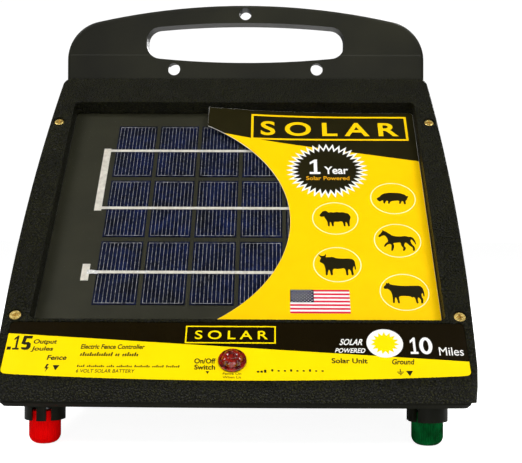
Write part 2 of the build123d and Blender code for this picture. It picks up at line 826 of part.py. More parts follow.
for name, side, turn in (("fence", -1, 0.0), ("ground", 1, ground_collar_turn)):
    spot = (side * terminal_x, terminal_y)

    with BuildPart() as collar:
        with BuildSketch(Plane.XY.offset(collar_top)):
            with Locations(spot):
                Circle(collar_r)
        extrude(amount=-collar_high)
        with BuildSketch(Plane.XY.offset(collar_floor_z)):
            with Locations(spot):
                Circle(collar_inner_r)
        extrude(amount=-collar_high, mode=Mode.SUBTRACT)
        with BuildSketch(Plane.XY.offset(collar_top)):
            with Locations(spot):
                Circle(stud_r + free_gap)
        extrude(amount=-collar_high, mode=Mode.SUBTRACT)
        # four slots make two straight channels for the wire, one each side of the stud
        with BuildSketch(Plane.XY.offset(collar_floor_z)):
            with Locations(Location((*spot, 0), (0, 0, turn))):
                with Locations((-slot_offset, 0), (slot_offset, 0)):
                    Rectangle(slot_width, 3 * collar_r)
        extrude(amount=-collar_high, mode=Mode.SUBTRACT)
    collar.part.label = f"{name}_collar"
    export_step(collar.part, f"parts/{name}_collar.step")

    with BuildPart() as stud:
        with BuildSketch(Plane.XY.offset(knob_top - stud_reach)):
            with Locations(spot):
                Circle(stud_r)
        extrude(amount=boss_top + stud_inside - knob_top + stud_reach)
        with BuildSketch(Plane.XY.offset(collar_floor_z)):
            with Locations(spot):
                Circle(stud_flange_r)
        extrude(amount=-stud_flange_thick)
    stud.part.label = f"{name}_stud"
    export_step(stud.part, f"parts/{name}_stud.step")

    with BuildPart() as washer:
        with BuildSketch(Plane.XY.offset(washer_top)):
            with Locations(spot):
                Circle(washer_r)
                Circle(stud_r + running_gap, mode=Mode.SUBTRACT)
        extrude(amount=-washer_thick)
    washer.part.label = f"{name}_washer"
    export_step(washer.part, f"parts/{name}_washer.step")

    with BuildPart() as insert:
        with BuildSketch(Plane.XY.offset(knob_top)):
            with Locations(spot):
                Circle(insert_r)
                Circle(stud_r + running_gap, mode=Mode.SUBTRACT)
        extrude(amount=-insert_deep)
    insert.part.label = f"{name}_insert"
    export_step(insert.part, f"parts/{name}_insert.step")

    with BuildPart() as knob:
        with BuildSketch(Plane.XY.offset(knob_top)):
            with Locations(spot):
                Circle(knob_r)
        extrude(amount=-knob_high)
        fillet(knob.edges().sort_by(Axis.Z)[0], radius=knob_round)
        with BuildSketch(Plane.XY.offset(knob_top)):
            with Locations(spot):
                Circle(insert_r)
        extrude(amount=-insert_deep, mode=Mode.SUBTRACT)
        with BuildSketch(Plane.XY.offset(knob_top - insert_deep)):
            with Locations(spot):
                Circle(stud_r + free_gap)
        extrude(amount=-knob_relief, mode=Mode.SUBTRACT)
    knob.part.label = f"{name}_knob"
    export_step(knob.part, f"parts/{name}_knob.step")

    with BuildPart() as lug:
        with BuildSketch(Plane.XY.offset(boss_top)):
            with Locations(spot):
                Circle(lug_r)
            with Locations((spot[0], spot[1] + lug_tail / 2)):
                Rectangle(lug_width, lug_tail)
            with Locations(spot):
                Circle(stud_r + free_gap, mode=Mode.SUBTRACT)
        extrude(amount=lug_thick)
    lug.part.label = f"{name}_lug"
    export_step(lug.part, f"parts/{name}_lug.step")

with BuildPart() as stud_nuts:
    with BuildSketch(Plane.XY.offset(boss_top + lug_thick)):
        with Locations(*terminal_spots):
            RegularPolygon(nut_r, 6)
            Circle(stud_r, mode=Mode.SUBTRACT)
    extrude(amount=nut_thick)
stud_nuts.part.label = "stud_nuts"
export_step(stud_nuts.part, "parts/stud_nuts.step")

# ---------------------------------------------------------------- on/off switch, snapped in from below
with BuildPart() as switch_body:
    with BuildSketch(Plane.XY.offset(case_bottom_z)):
        with Locations((switch_x, switch_y)):
            Rectangle(switch_cut_x - 0.4, switch_cut_y - 0.4)
    extrude(amount=switch_deep)
    with BuildSketch(Plane.XY.offset(case_bottom_z)):
        with Locations((switch_x, switch_y)):
            RectangleRounded(switch_flange_x, switch_flange_y, 1)
    extrude(amount=-switch_flange)
    with BuildSketch(Plane.XY.offset(case_bottom_z - switch_flange)):
        with Locations((switch_x, switch_y)):
            Rectangle(rocker_window_x, rocker_window_y)
    extrude(amount=rocker_pocket, mode=Mode.SUBTRACT)
    with BuildSketch(Plane.XZ.offset(-switch_y)):
        with Locations((switch_x, rocker_pivot_z)):
            Circle(rocker_pin_r)
    extrude(amount=rocker_pin_length / 2, both=True, mode=Mode.SUBTRACT)
switch_body.part.label = "switch_body"
export_step(switch_body.part, "parts/switch_body.step")

rocker_plane = Plane(
    origin=(switch_x, switch_y, rocker_pivot_z),
    x_dir=(math.cos(math.radians(rocker_tilt)), 0, math.sin(math.radians(rocker_tilt))),
    z_dir=(0, -1, 0),
)
with BuildPart() as switch_rocker:
    with BuildSketch(rocker_plane):
        with BuildLine():
            Polyline(
                (-rocker_half, rocker_up),
                (-rocker_half, -rocker_down),
                (0, -rocker_down + rocker_valley),
                (rocker_half, -rocker_down),
                (rocker_half, rocker_up),
                close=True,
            )
        make_face()
        Circle(rocker_pin_r + running_gap, mode=Mode.SUBTRACT)
    extrude(amount=rocker_wide / 2, both=True)
switch_rocker.part.label = "switch_rocker"
export_step(switch_rocker.part, "parts/switch_rocker.step")

with BuildPart() as switch_pin:
    with BuildSketch(Plane.XZ.offset(-switch_y)):
        with Locations((switch_x, rocker_pivot_z)):
            Circle(rocker_pin_r)
    extrude(amount=rocker_pin_length / 2, both=True)
switch_pin.part.label = "switch_pin"
export_step(switch_pin.part, "parts/switch_pin.step")

blade_z = case_bottom_z + switch_deep
with BuildPart() as switch_blades:
    with BuildSketch(Plane.XY.offset(blade_z)):
        with Locations(*[(switch_x + side * blade_spread, switch_y) for side in (-1, 1)]):
            Rectangle(blade_thick, blade_wide)
    extrude(amount=blade_high)
switch_blades.part.label = "switch_blades"
export_step(switch_blades.part, "parts/switch_blades.step")

# ---------------------------------------------------------------- battery, strapped to the back wall
floor_z = case_bottom_z + wall
battery_floor = floor_z + pad_thick
battery_top = battery_floor + battery_high
battery_mid_y = -wall - battery_back_gap - battery_deep / 2

with BuildPart() as battery_pad:
    with BuildSketch(Plane.XY.offset(floor_z)):
        with Locations((battery_x, battery_mid_y)):
            Rectangle(battery_wide - 4, battery_deep - 4)
    extrude(amount=pad_thick)
battery_pad.part.label = "battery_pad"
export_step(battery_pad.part, "parts/battery_pad.step")

with BuildPart() as battery:
    with BuildSketch(Plane.XY.offset(battery_floor)):
        with Locations((battery_x, battery_mid_y)):
            RectangleRounded(battery_wide, battery_deep, 2)
    extrude(amount=battery_high)
    with BuildSketch(Plane.XY.offset(battery_top)):
        with Locations((battery_x, battery_mid_y)):
            RectangleRounded(
                battery_wide - 2 * battery_lid_edge, battery_deep - 2 * battery_lid_margin, 2
            )
    extrude(amount=-battery_lid_sunk, mode=Mode.SUBTRACT)
battery.part.label = "battery"
export_step(battery.part, "parts/battery.step")

tab_spots = [(battery_x + side * tab_spread, battery_mid_y) for side in (-1, 1)]
with BuildPart() as battery_tabs:
    with BuildSketch(Plane.XY.offset(battery_top - battery_lid_sunk)):
        with Locations(*tab_spots):
            Rectangle(tab_thick, tab_wide)
    extrude(amount=tab_high)
battery_tabs.part.label = "battery_tabs"
export_step(battery_tabs.part, "parts/battery_tabs.step")

with BuildPart() as spade_connectors:
    with BuildSketch(Plane.XY.offset(battery_top + 1)):
        with Locations(*tab_spots):
            Rectangle(spade_thick, spade_wide)
    extrude(amount=tab_high + spade_crimp)
    with BuildSketch(Plane.XY.offset(battery_top + 1)):
        with Locations(*tab_spots):
            Rectangle(tab_thick + 2 * spade_gap, tab_wide + 2 * spade_gap)
    extrude(amount=tab_high, mode=Mode.SUBTRACT)
spade_connectors.part.label = "spade_connectors"
export_step(spade_connectors.part, "parts/spade_connectors.step")

strap_front_y = battery_mid_y - battery_deep / 2 - strap_slack
with BuildPart() as battery_strap:
    with BuildSketch(Plane.XY.offset(strap_z - strap_high / 2)):
        with BuildLine():
            Polyline(
                (battery_x - strap_half - strap_foot, -wall - strap_thick / 2),
                (battery_x - strap_half, -wall - strap_thick / 2),
                (battery_x - strap_half, strap_front_y),
                (battery_x + strap_half, strap_front_y),
                (battery_x + strap_half, -wall - strap_thick / 2),
                (battery_x + strap_half + strap_foot, -wall - strap_thick / 2),
            )
            offset(amount=strap_thick / 2, kind=Kind.INTERSECTION, side=Side.BOTH)
        make_face()
    extrude(amount=strap_high)
    with BuildSketch(Plane.XZ):
        with Locations(*strap_screw_spots):
            Circle(strap_screw_r + free_gap)
    extrude(amount=2 * wall, mode=Mode.SUBTRACT)
battery_strap.part.label = "battery_strap"
export_step(battery_strap.part, "parts/battery_strap.step")

with BuildPart() as strap_screws:
    with BuildSketch(Plane.XZ.offset(wall + strap_thick)):
        with Locations(*strap_screw_spots):
            Circle(2 * strap_screw_r)
    extrude(amount=small_head_thick)
    with BuildSketch(Plane.XZ.offset(wall)):
        with Locations(*strap_screw_spots):
            Circle(strap_screw_r)
    extrude(amount=strap_thick)
strap_screws.part.label = "strap_screws"
export_step(strap_screws.part, "parts/strap_screws.step")

# ---------------------------------------------------------------- circuit board on its posts
board_front = board_back + board_thick
with BuildPart() as circuit_board:
    with BuildSketch(Plane.XZ.offset(board_back)):
        with Locations((board_x, board_z)):
            RectangleRounded(board_wide, board_high, 2)
        with Locations(*board_posts):
            Circle(board_screw_r + free_gap, mode=Mode.SUBTRACT)
    extrude(amount=board_thick)
circuit_board.part.label = "circuit_board"
export_step(circuit_board.part, "parts/circuit_board.step")

with BuildPart() as board_screws:
    with BuildSketch(Plane.XZ.offset(board_front)):
        with Locations(*board_posts):
            Circle(2 * board_screw_r)
    extrude(amount=small_head_thick)
    with BuildSketch(Plane.XZ.offset(board_front)):
        with Locations(*board_posts):
            Circle(board_screw_r)
    extrude(amount=-board_thick - 5)
board_screws.part.label = "board_screws"
export_step(board_screws.part, "parts/board_screws.step")

with BuildPart() as storage_capacitor:
    with BuildSketch(Plane.XZ.offset(board_front)):
        with Locations(capacitor_spot):
            Circle(capacitor_r)
    extrude(amount=capacitor_high)
    fillet(storage_capacitor.edges().sort_by(Axis.Y)[0], radius=2)
storage_capacitor.part.label = "storage_capacitor"
export_step(storage_capacitor.part, "parts/storage_capacitor.step")

with BuildPart() as charge_inductor:
    with BuildSketch(Plane.XZ.offset(board_front)):
        with Locations(inductor_spot):
            Circle(inductor_r)
    extrude(amount=inductor_high)
    with BuildSketch(Plane.XZ.offset(board_front + 2)):
        with Locations(inductor_spot):
            Circle(inductor_r + 1)
            Circle(inductor_r - 2, mode=Mode.SUBTRACT)
    extrude(amount=inductor_high - 4, mode=Mode.SUBTRACT)
charge_inductor.part.label = "charge_inductor"
export_step(charge_inductor.part, "parts/charge_inductor.step")

with BuildPart() as heat_sink:
    with BuildSketch(Plane.XZ.offset(board_front)):
        with Locations(sink_spot):
            Rectangle((sink_fins - 1) * sink_pitch + fin_thick, sink_high)
    extrude(amount=sink_base)
    with BuildSketch(Plane.XZ.offset(board_front + sink_base)):
        with Locations(sink_spot):
            with GridLocations(sink_pitch, 0, sink_fins, 1):
                Rectangle(fin_thick, sink_high)
    extrude(amount=fin_deep)
heat_sink.part.label = "heat_sink"
export_step(heat_sink.part, "parts/heat_sink.step")

thyristor_bottom = sink_spot[1] - sink_high / 2 - thyristor_gap - thyristor_high
with BuildPart() as thyristor:
    with BuildSketch(Plane.XZ.offset(board_front)):
        with Locations((sink_spot[0], thyristor_bottom + thyristor_high / 2)):
            Rectangle(thyristor_wide, thyristor_high)
    extrude(amount=thyristor_tab)
    with BuildSketch(Plane.XZ.offset(board_front + thyristor_tab)):
        with Locations((sink_spot[0], thyristor_bottom + thyristor_high / 3)):
            Rectangle(thyristor_wide, thyristor_high * 2 / 3)
    extrude(amount=thyristor_body)
    with BuildSketch(Plane.XZ.offset(board_front + thyristor_leg_high)):
        with Locations((sink_spot[0], thyristor_bottom - thyristor_leg_long / 2)):
            with GridLocations(pin_pitch, 0, 3, 1):
                Rectangle(thyristor_leg_wide, thyristor_leg_long)
    extrude(amount=thyristor_leg_thick)
thyristor.part.label = "thyristor"
export_step(thyristor.part, "parts/thyristor.step")

with BuildPart() as control_chip:
    with BuildSketch(Plane.XZ.offset(board_front + chip_gap)):
        with Locations(chip_spot):
            Rectangle(chip_long, chip_wide)
    extrude(amount=chip_thick)
    with BuildSketch(Plane.XZ.offset(board_front)):
        with Locations(chip_spot):
            with GridLocations(pin_pitch, chip_rows, chip_pins, 2):
                Rectangle(chip_pin_wide, chip_pin_reach)
    extrude(amount=chip_pin_high)
control_chip.part.label = "control_chip"
export_step(control_chip.part, "parts/control_chip.step")

with BuildPart() as resistors:
    with BuildSketch(Plane.YZ.offset(resistor_spot[0] - resistor_long / 2)):
        for i in range(resistor_count):
            resistor_z = resistor_spot[1] - i * resistor_pitch
            with Locations((-board_front - resistor_r - axial_gap, resistor_z)):
                Circle(resistor_r)
    extrude(amount=resistor_long)
resistors.part.label = "resistors"
export_step(resistors.part, "parts/resistors.step")

with BuildPart() as charge_diodes:
    with BuildSketch(Plane.YZ.offset(diode_spot[0] - diode_long / 2)):
        for i in range(diode_count):
            with Locations((-board_front - diode_r - axial_gap, diode_spot[1] - i * resistor_pitch)):
                Circle(diode_r)
    extrude(amount=diode_long)
charge_diodes.part.label = "charge_diodes"
export_step(charge_diodes.part, "parts/charge_diodes.step")

with BuildPart() as small_capacitors:
    with BuildSketch(Plane.XZ.offset(board_front)):
        with Locations(*small_capacitor_spots):
            Circle(small_capacitor_r)
    extrude(amount=small_capacitor_high)
small_capacitors.part.label = "small_capacitors"
export_step(small_capacitors.part, "parts/small_capacitors.step")

with BuildPart() as board_header:
    with BuildSketch(Plane.XZ.offset(board_front)):
        with Locations(header_spot):
            Rectangle(header_wide, header_high)
    extrude(amount=header_deep)
board_header.part.label = "board_header"
export_step(board_header.part, "parts/board_header.step")

# ---------------------------------------------------------------- pulse transformer on two floor posts
coil_foot_z = floor_z + coil_post_height
core_bottom = coil_foot_z + bracket_thick
core_mid_z = core_bottom + core_high / 2
core_plane = Plane.XZ.offset(-coil_y)
with BuildPart() as transformer_core:
    with BuildSketch(core_plane):
        with Locations((coil_x, core_mid_z)):
            Rectangle(core_wide, core_high)
            with GridLocations(core_leg + window_wide, 0, 2, 1):
                Rectangle(window_wide, window_high, mode=Mode.SUBTRACT)
    extrude(amount=core_stack / 2, both=True)
transformer_core.part.label = "transformer_core"
export_step(transformer_core.part, "parts/transformer_core.step")

with BuildPart() as transformer_bobbin:
    for low, high in ((-1, 1), (-1, flange_part - 1), (1 - flange_part, 1)):
        half = window_high / 2 - 0.3
        reach = bobbin_wall if (low, high) == (-1, 1) else bobbin_reach
        with BuildSketch(Plane.XY.offset(core_mid_z + low * half)):
            with Locations((coil_x, coil_y)):
                Rectangle(core_leg + 2 * reach, core_stack + 2 * reach)
        extrude(amount=(high - low) * half)
    with BuildSketch(Plane.XY.offset(core_bottom)):
        with Locations((coil_x, coil_y)):
            Rectangle(core_leg + 2 * free_gap, core_stack + 2 * free_gap)
    extrude(amount=core_high, mode=Mode.SUBTRACT)
transformer_bobbin.part.label = "transformer_bobbin"
export_step(transformer_bobbin.part, "parts/transformer_bobbin.step")

with BuildPart() as transformer_winding:
    with BuildSketch(Plane.XY.offset(core_mid_z)):
        with Locations((coil_x, coil_y)):
            RectangleRounded(
                core_leg + 2 * winding_reach, core_stack + 2 * winding_reach, winding_corner
            )
            Rectangle(core_leg + 2 * bobbin_wall, core_stack + 2 * bobbin_wall, mode=Mode.SUBTRACT)
    extrude(amount=winding_high / 2, both=True)
transformer_winding.part.label = "transformer_winding"
export_step(transformer_winding.part, "parts/transformer_winding.step")

bracket_half = core_wide / 2 + bracket_gap
bracket_top = core_bottom + core_high + bracket_gap
with BuildPart() as transformer_bracket:
    with BuildSketch(core_plane):
        with BuildLine():
            Polyline(
                (coil_x - bracket_half - bracket_foot, coil_foot_z + bracket_thick / 2),
                (coil_x - bracket_half, coil_foot_z + bracket_thick / 2),
                (coil_x - bracket_half, bracket_top),
                (coil_x + bracket_half, bracket_top),
                (coil_x + bracket_half, coil_foot_z + bracket_thick / 2),
                (coil_x + bracket_half + bracket_foot, coil_foot_z + bracket_thick / 2),
            )
            offset(amount=bracket_thick / 2, kind=Kind.INTERSECTION, side=Side.BOTH)
        make_face()
    extrude(amount=core_stack / 2 - 2, both=True)
    with BuildSketch(Plane.XY.offset(coil_foot_z - 1)):
        with Locations(*coil_posts):
            Circle(coil_screw_r + free_gap)
    extrude(amount=bracket_thick + 2, mode=Mode.SUBTRACT)
transformer_bracket.part.label = "transformer_bracket"
export_step(transformer_bracket.part, "parts/transformer_bracket.step")

with BuildPart() as transformer_screws:
    with BuildSketch(Plane.XY.offset(coil_foot_z + bracket_thick)):
        with Locations(*coil_posts):
            Circle(2 * coil_screw_r)
    extrude(amount=small_head_thick)
    with BuildSketch(Plane.XY.offset(coil_foot_z + bracket_thick)):
        with Locations(*coil_posts):
            Circle(coil_screw_r)
    extrude(amount=-bracket_thick - coil_post_height + 1)
transformer_screws.part.label = "transformer_screws"
export_step(transformer_screws.part, "parts/transformer_screws.step")

# ---------------------------------------------------------------- internal leads, each one round tube
header_face_y = -board_front - header_deep


def lead(points, radius):
    """A round wire along straight runs joined by tangent arcs, from one end face to the other."""
    runs = [(Vector(b) - Vector(a)).length for a, b in zip(points, points[1:])]
    bends = []
    for i in range(1, len(points) - 1):
        before = Vector(points[i]) - Vector(points[i - 1])
        after = Vector(points[i + 1]) - Vector(points[i])
        half_turn = math.radians(before.get_angle(after)) / 2
        tightest = lead_share * min(runs[i - 1], runs[i]) / math.tan(half_turn)
        bends.append(min(tightest, lead_bend_limit))
    with BuildPart() as wire:
        with BuildLine() as route:
            FilletPolyline(*points, radius=bends)
        with BuildSketch(Plane(origin=route.line @ 0, z_dir=route.line % 0)):
            Circle(radius)
        sweep(path=route.line)
    return wire.part


header_pins = [header_spot[0] + (i - 3.5) * header_pitch for i in range(8)]
tab_exit_z = battery_top + tab_high + 5
blade_exit_z = blade_z + blade_high
led_exit = slope_plane(face_h - strip_depth + label_thick - lamp_stem - 1 - led_legs, 0, lamp_v).origin
panel_back = slope_plane(tray_floor_h + tape_thick - free_gap, cable_hole_x, cable_hole_v).origin
lug_end_y = terminal_y + lug_tail
winding_front_y = coil_y - core_stack / 2 - winding_reach

with BuildPart() as battery_leads:
    for pin, (tab_x, tab_y) in zip(header_pins[:2], tab_spots):
        add(lead([
            (tab_x, tab_y, tab_exit_z),
            (tab_x, tab_y, tab_exit_z + 9),
            (tab_x + 14, tab_y - 34, tab_exit_z + 8),
            (pin - 14, header_face_y - 44, header_spot[1] + 16),
            (pin, header_face_y - 14, header_spot[1]),
            (pin, header_face_y, header_spot[1]),
        ], lead_r))
battery_leads.part.label = "battery_leads"
export_step(battery_leads.part, "parts/battery_leads.step")

with BuildPart() as panel_leads:
    for pin, side in zip(header_pins[2:4], (-1, 1)):
        start_x = cable_hole_x + side * 1.6
        add(lead([
            (start_x, panel_back.Y, panel_back.Z),
            (start_x, panel_back.Y + 10, panel_back.Z - 10),
            (start_x + 25, panel_back.Y + 26, panel_back.Z - 16),
            (pin - 34, header_face_y - 44, header_spot[1] + 6),
            (pin, header_face_y - 18, header_spot[1]),
            (pin, header_face_y, header_spot[1]),
        ], lead_r))
panel_leads.part.label = "panel_leads"
export_step(panel_leads.part, "parts/panel_leads.step")

with BuildPart() as switch_leads:
    for pin, side in zip(header_pins[4:6], (-1, 1)):
        start_x = switch_x + side * blade_spread
        add(lead([
            (start_x, switch_y, blade_exit_z),
            (start_x, switch_y, blade_exit_z + 7),
            (start_x + 2, switch_y + 30, blade_exit_z + 14),
            (pin, header_face_y - 40, header_spot[1] - 22),
            (pin, header_face_y - 12, header_spot[1]),
            (pin, header_face_y, header_spot[1]),
        ], lead_r))
switch_leads.part.label = "switch_leads"
export_step(switch_leads.part, "parts/switch_leads.step")

with BuildPart() as lamp_leads:
    for pin, side in zip(header_pins[6:8], (-1, 1)):
        start_x = lamp_x + side * led_leg_spread
        add(lead([
            (start_x, led_exit.Y + 0.5, led_exit.Z - 0.5),
            (start_x + side, led_exit.Y + 6, led_exit.Z - 2),
            (start_x + 3 * side + 4, led_exit.Y + 30, led_exit.Z + 4),
            (pin, header_face_y - 36, header_spot[1] - 14),
            (pin, header_face_y - 12, header_spot[1]),
            (pin, header_face_y, header_spot[1]),
        ], thin_lead_r))
lamp_leads.part.label = "lamp_leads"
export_step(lamp_leads.part, "parts/lamp_leads.step")

with BuildPart() as output_leads:
    add(lead([
        (-terminal_x, lug_end_y, boss_top + lead_r + 0.2),
        (-terminal_x, lug_end_y + 22, boss_top + lead_r + 0.2),
        (-terminal_x + 30, lug_end_y + 66, boss_top + 8),
        (coil_x - 70, winding_front_y - 22, core_mid_z - 6),
        (coil_x - 6, winding_front_y - 14, core_mid_z),
        (coil_x - 6, winding_front_y, core_mid_z),
    ], output_lead_r))
    add(lead([
        (terminal_x, lug_end_y, boss_top + lead_r + 0.2),
        (terminal_x, lug_end_y + 18, boss_top + lead_r + 0.2),
        (terminal_x - 10, winding_front_y - 36, core_mid_z - 10),
        (coil_x + 6, winding_front_y - 16, core_mid_z),
        (coil_x + 6, winding_front_y, core_mid_z),
    ], output_lead_r))
output_leads.part.label = "output_leads"
export_step(output_leads.part, "parts/output_leads.step")
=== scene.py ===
import json
import math

import bmesh
import bpy
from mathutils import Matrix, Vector


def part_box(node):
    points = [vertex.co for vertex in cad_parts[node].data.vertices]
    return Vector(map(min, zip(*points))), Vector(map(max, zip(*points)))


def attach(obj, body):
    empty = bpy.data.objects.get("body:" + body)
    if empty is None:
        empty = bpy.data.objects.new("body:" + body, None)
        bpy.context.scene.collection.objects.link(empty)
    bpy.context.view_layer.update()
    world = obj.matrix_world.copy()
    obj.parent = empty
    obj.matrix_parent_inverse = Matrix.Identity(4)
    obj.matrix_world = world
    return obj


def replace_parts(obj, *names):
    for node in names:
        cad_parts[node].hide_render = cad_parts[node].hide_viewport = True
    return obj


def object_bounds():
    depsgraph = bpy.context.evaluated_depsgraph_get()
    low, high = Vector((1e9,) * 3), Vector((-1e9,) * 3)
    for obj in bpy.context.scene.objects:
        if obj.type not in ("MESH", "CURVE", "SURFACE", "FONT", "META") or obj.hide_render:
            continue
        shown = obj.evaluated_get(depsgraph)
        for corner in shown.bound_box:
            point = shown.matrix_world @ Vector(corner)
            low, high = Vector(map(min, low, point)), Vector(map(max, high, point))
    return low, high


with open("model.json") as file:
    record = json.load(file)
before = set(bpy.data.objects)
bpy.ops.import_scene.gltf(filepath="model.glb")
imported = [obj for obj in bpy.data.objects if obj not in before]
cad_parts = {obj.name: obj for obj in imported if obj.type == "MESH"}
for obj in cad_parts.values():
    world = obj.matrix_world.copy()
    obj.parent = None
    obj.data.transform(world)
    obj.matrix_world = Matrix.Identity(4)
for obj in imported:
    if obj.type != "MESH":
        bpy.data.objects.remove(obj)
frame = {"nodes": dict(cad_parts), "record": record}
cad_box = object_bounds()

# Millimetres are used throughout, in the frame of the CAD model: +X right, -Y front, +Z up.
MM = 0.001
scene = bpy.context.scene

# ---------------------------------------------------------------- camera
CAMERA_PLACE = (20.2, -787.3, -159.7)
CAMERA_TURN = (90.312, -0.218, 0.633)
CAMERA_LENS = 74.47

camera_data = bpy.data.cameras.new("camera")
camera_data.lens = CAMERA_LENS
camera_data.sensor_width = 36.0
camera_data.clip_start = 0.01
camera = bpy.data.objects.new("camera", camera_data)
camera.location = Vector(CAMERA_PLACE) * MM
camera.rotation_euler = [math.radians(a) for a in CAMERA_TURN]
scene.collection.objects.link(camera)
scene.camera = camera

# ---------------------------------------------------------------- the sloping face, as a place to put things
FACE_ANGLE = math.radians(45)
UP_SLOPE = Vector((0, math.sin(FACE_ANGLE), math.cos(FACE_ANGLE)))
OUTWARDS = Vector((0, -math.cos(FACE_ANGLE), math.sin(FACE_ANGLE)))
FILM_MIDDLE = 0.125  # the film's middle is this far above the panel's datum

film_low, film_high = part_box("panel_film")
face_origin = (film_low + film_high) / 2 - OUTWARDS * FILM_MIDDLE * MM


def on_face(x, v, h):
    """The point x across, v up the slope from the panel's centre and h out of it."""
    return face_origin + (Vector((x, 0, 0)) + UP_SLOPE * v + OUTWARDS * h) * MM


CARD_BASE = 0.9  # the card lies this far above the panel's datum
CARD_LEFT, CARD_RIGHT = -24.5, 117.0
CARD_TOP, CARD_BOTTOM = 97.3, -94.5
CARD_CORNER = 3.0
CARD_CUT_X, CARD_CUT_V, CARD_CUT_R = -68.5, -10.5, 99.5
CARD_CUT_TOP = 78.7  # the round cut meets the card's left side at this height
CARD_THICK = 0.45
CURL_HIGH, CURL_REACH = 5.0, 78.0
CURL_ACROSS, CURL_DOWN = 0.75, 0.65  # how fast the curl dies away from the corner


def on_card(x, v, h):
    """As on_face, above the card, whose top left corner curls up."""
    away = CURL_ACROSS * (x - CARD_LEFT) + CURL_DOWN * (CARD_TOP - v)
    corner = max(0.0, 1 - away / CURL_REACH)
    return on_face(x, v, CARD_BASE + CURL_HIGH * corner**2 + h)


LABEL_TOP_H = 8.8  # the printed strip's top is this far above the panel's datum


def on_label(x, v, h):
    """As on_face, above the printed strip."""
    return on_face(x, v, LABEL_TOP_H + h)


# ---------------------------------------------------------------- materials
def add_node(owner, kind, inputs=None, **settings):
    """A shader node; an input is given a number, a colour or the socket that feeds it."""
    made = owner.node_tree.nodes.new(kind)
    for key, value in settings.items():
        setattr(made, key, value)
    for key, value in (inputs or {}).items():
        if isinstance(value, bpy.types.NodeSocket):
            link(owner, value, made.inputs[key])
        else:
            made.inputs[key].default_value = value
    return made


def link(owner, source, target):
    owner.node_tree.links.new(source, target)


def ramp(material, factor, low, high, band=(0.3, 0.7)):
    """A colour that goes from low to high across a band of the factor."""
    made = add_node(material, "ShaderNodeValToRGB", {"Fac": factor})
    for element, position, colour in zip(made.color_ramp.elements, band, (low, high)):
        element.position = position
        element.color = (*colour, 1)
    return made.outputs["Color"]


def multiplied(material, first, second):
    """The product of two colours."""
    made = add_node(material, "ShaderNodeMix", data_type="RGBA", blend_type="MULTIPLY")
    made.inputs[0].default_value = 1.0
    link(material, first, made.inputs[6])
    link(material, second, made.inputs[7])
    return made.outputs[2]


def scaled(material, factor, low, high):
    """A 0 to 1 factor turned into low to high."""
    made = add_node(material, "ShaderNodeMapRange", {"Value": factor, "To Min": low, "To Max": high})
    return made.outputs["Result"]


def noise(material, place, scale, detail=3.0):
    made = add_node(material, "ShaderNodeTexNoise", {"Vector": place, "Scale": scale, "Detail": detail})
    return made.outputs["Fac"]


def grains(material, place, scale):
    """Cells of a Voronoi pattern: outputs for the distance from a cell's middle and for its own colour."""
    return add_node(material, "ShaderNodeTexVoronoi", {"Vector": place, "Scale": scale}, feature="F1").outputs


def bump(material, height, strength, distance, normal=None, sunk=False):
    inputs = {"Height": height, "Strength": strength, "Distance": distance * MM}
    if normal:
        inputs["Normal"] = normal
    return add_node(material, "ShaderNodeBump", inputs, invert=sunk).outputs["Normal"]


def start(name, **sockets):
    """A material with its principled shader's fixed values, and the object's own coordinates."""
    material = bpy.data.materials.new(name)
    material.use_nodes = True
    shader = material.node_tree.nodes["Principled BSDF"]
    for key, value in sockets.items():
        shader.inputs[key.replace("_", " ")].default_value = value
    place = add_node(material, "ShaderNodeTexCoord").outputs["Object"]
    return material, shader, place


GLOSS_FINER = 2.7  # patches of gloss are this many times finer than patches of tone


def plain(name, dark, light, rough, mottle, grain, grain_depth, grain_strength, **sockets):
    """Moulded plastic, rubber or paint: two near tones in soft patches, uneven gloss and a fine grain."""
    material, shader, place = start(name, **sockets)
    patches = noise(material, place, mottle)
    link(material, ramp(material, patches, dark, light), shader.inputs["Base Color"])
    gloss = noise(material, place, mottle * GLOSS_FINER, 4.0)
    link(material, scaled(material, gloss, *rough), shader.inputs["Roughness"])
    relief = noise(material, place, grain, 2.0)
    link(material, bump(material, relief, grain_strength, grain_depth), shader.inputs["Normal"])
    return material


def metal(
    name, dark, light, rough=(0.25, 0.4), streak=(1.0, 1.0, 1.0), scale=500.0, depth=0.01, metallic=1.0
):
    """Plated or drawn metal: patchy tone, uneven gloss and fine tool marks, which streak draws out."""
    material, shader, place = start(name, Metallic=metallic)
    stretched = add_node(material, "ShaderNodeMapping", {"Vector": place, "Scale": streak}).outputs["Vector"]
    patches = noise(material, place, scale * 0.4, 4.0)
    link(material, ramp(material, patches, dark, light), shader.inputs["Base Color"])
    marks = noise(material, stretched, scale, 5.0)
    link(material, scaled(material, marks, *rough), shader.inputs["Roughness"])
    link(material, bump(material, marks, 0.5, depth), shader.inputs["Normal"])
    return material


GRAIN_SCALE, GRAIN_FINE_SCALE = 820.0, 1900.0
GRAIN_WARP_SCALE, GRAIN_WARP = 260.0, 1.6  # the pebbles are pushed about by this many millimetres
# painted highlight: the pebbles are tinted lighter; painted shade: the creases between them are tinted darker
PEBBLE_HIGHLIGHT_TINT, CREASE_SHADE_TINT = (2.2, 2.2, 2.0), (0.25, 0.25, 0.22)


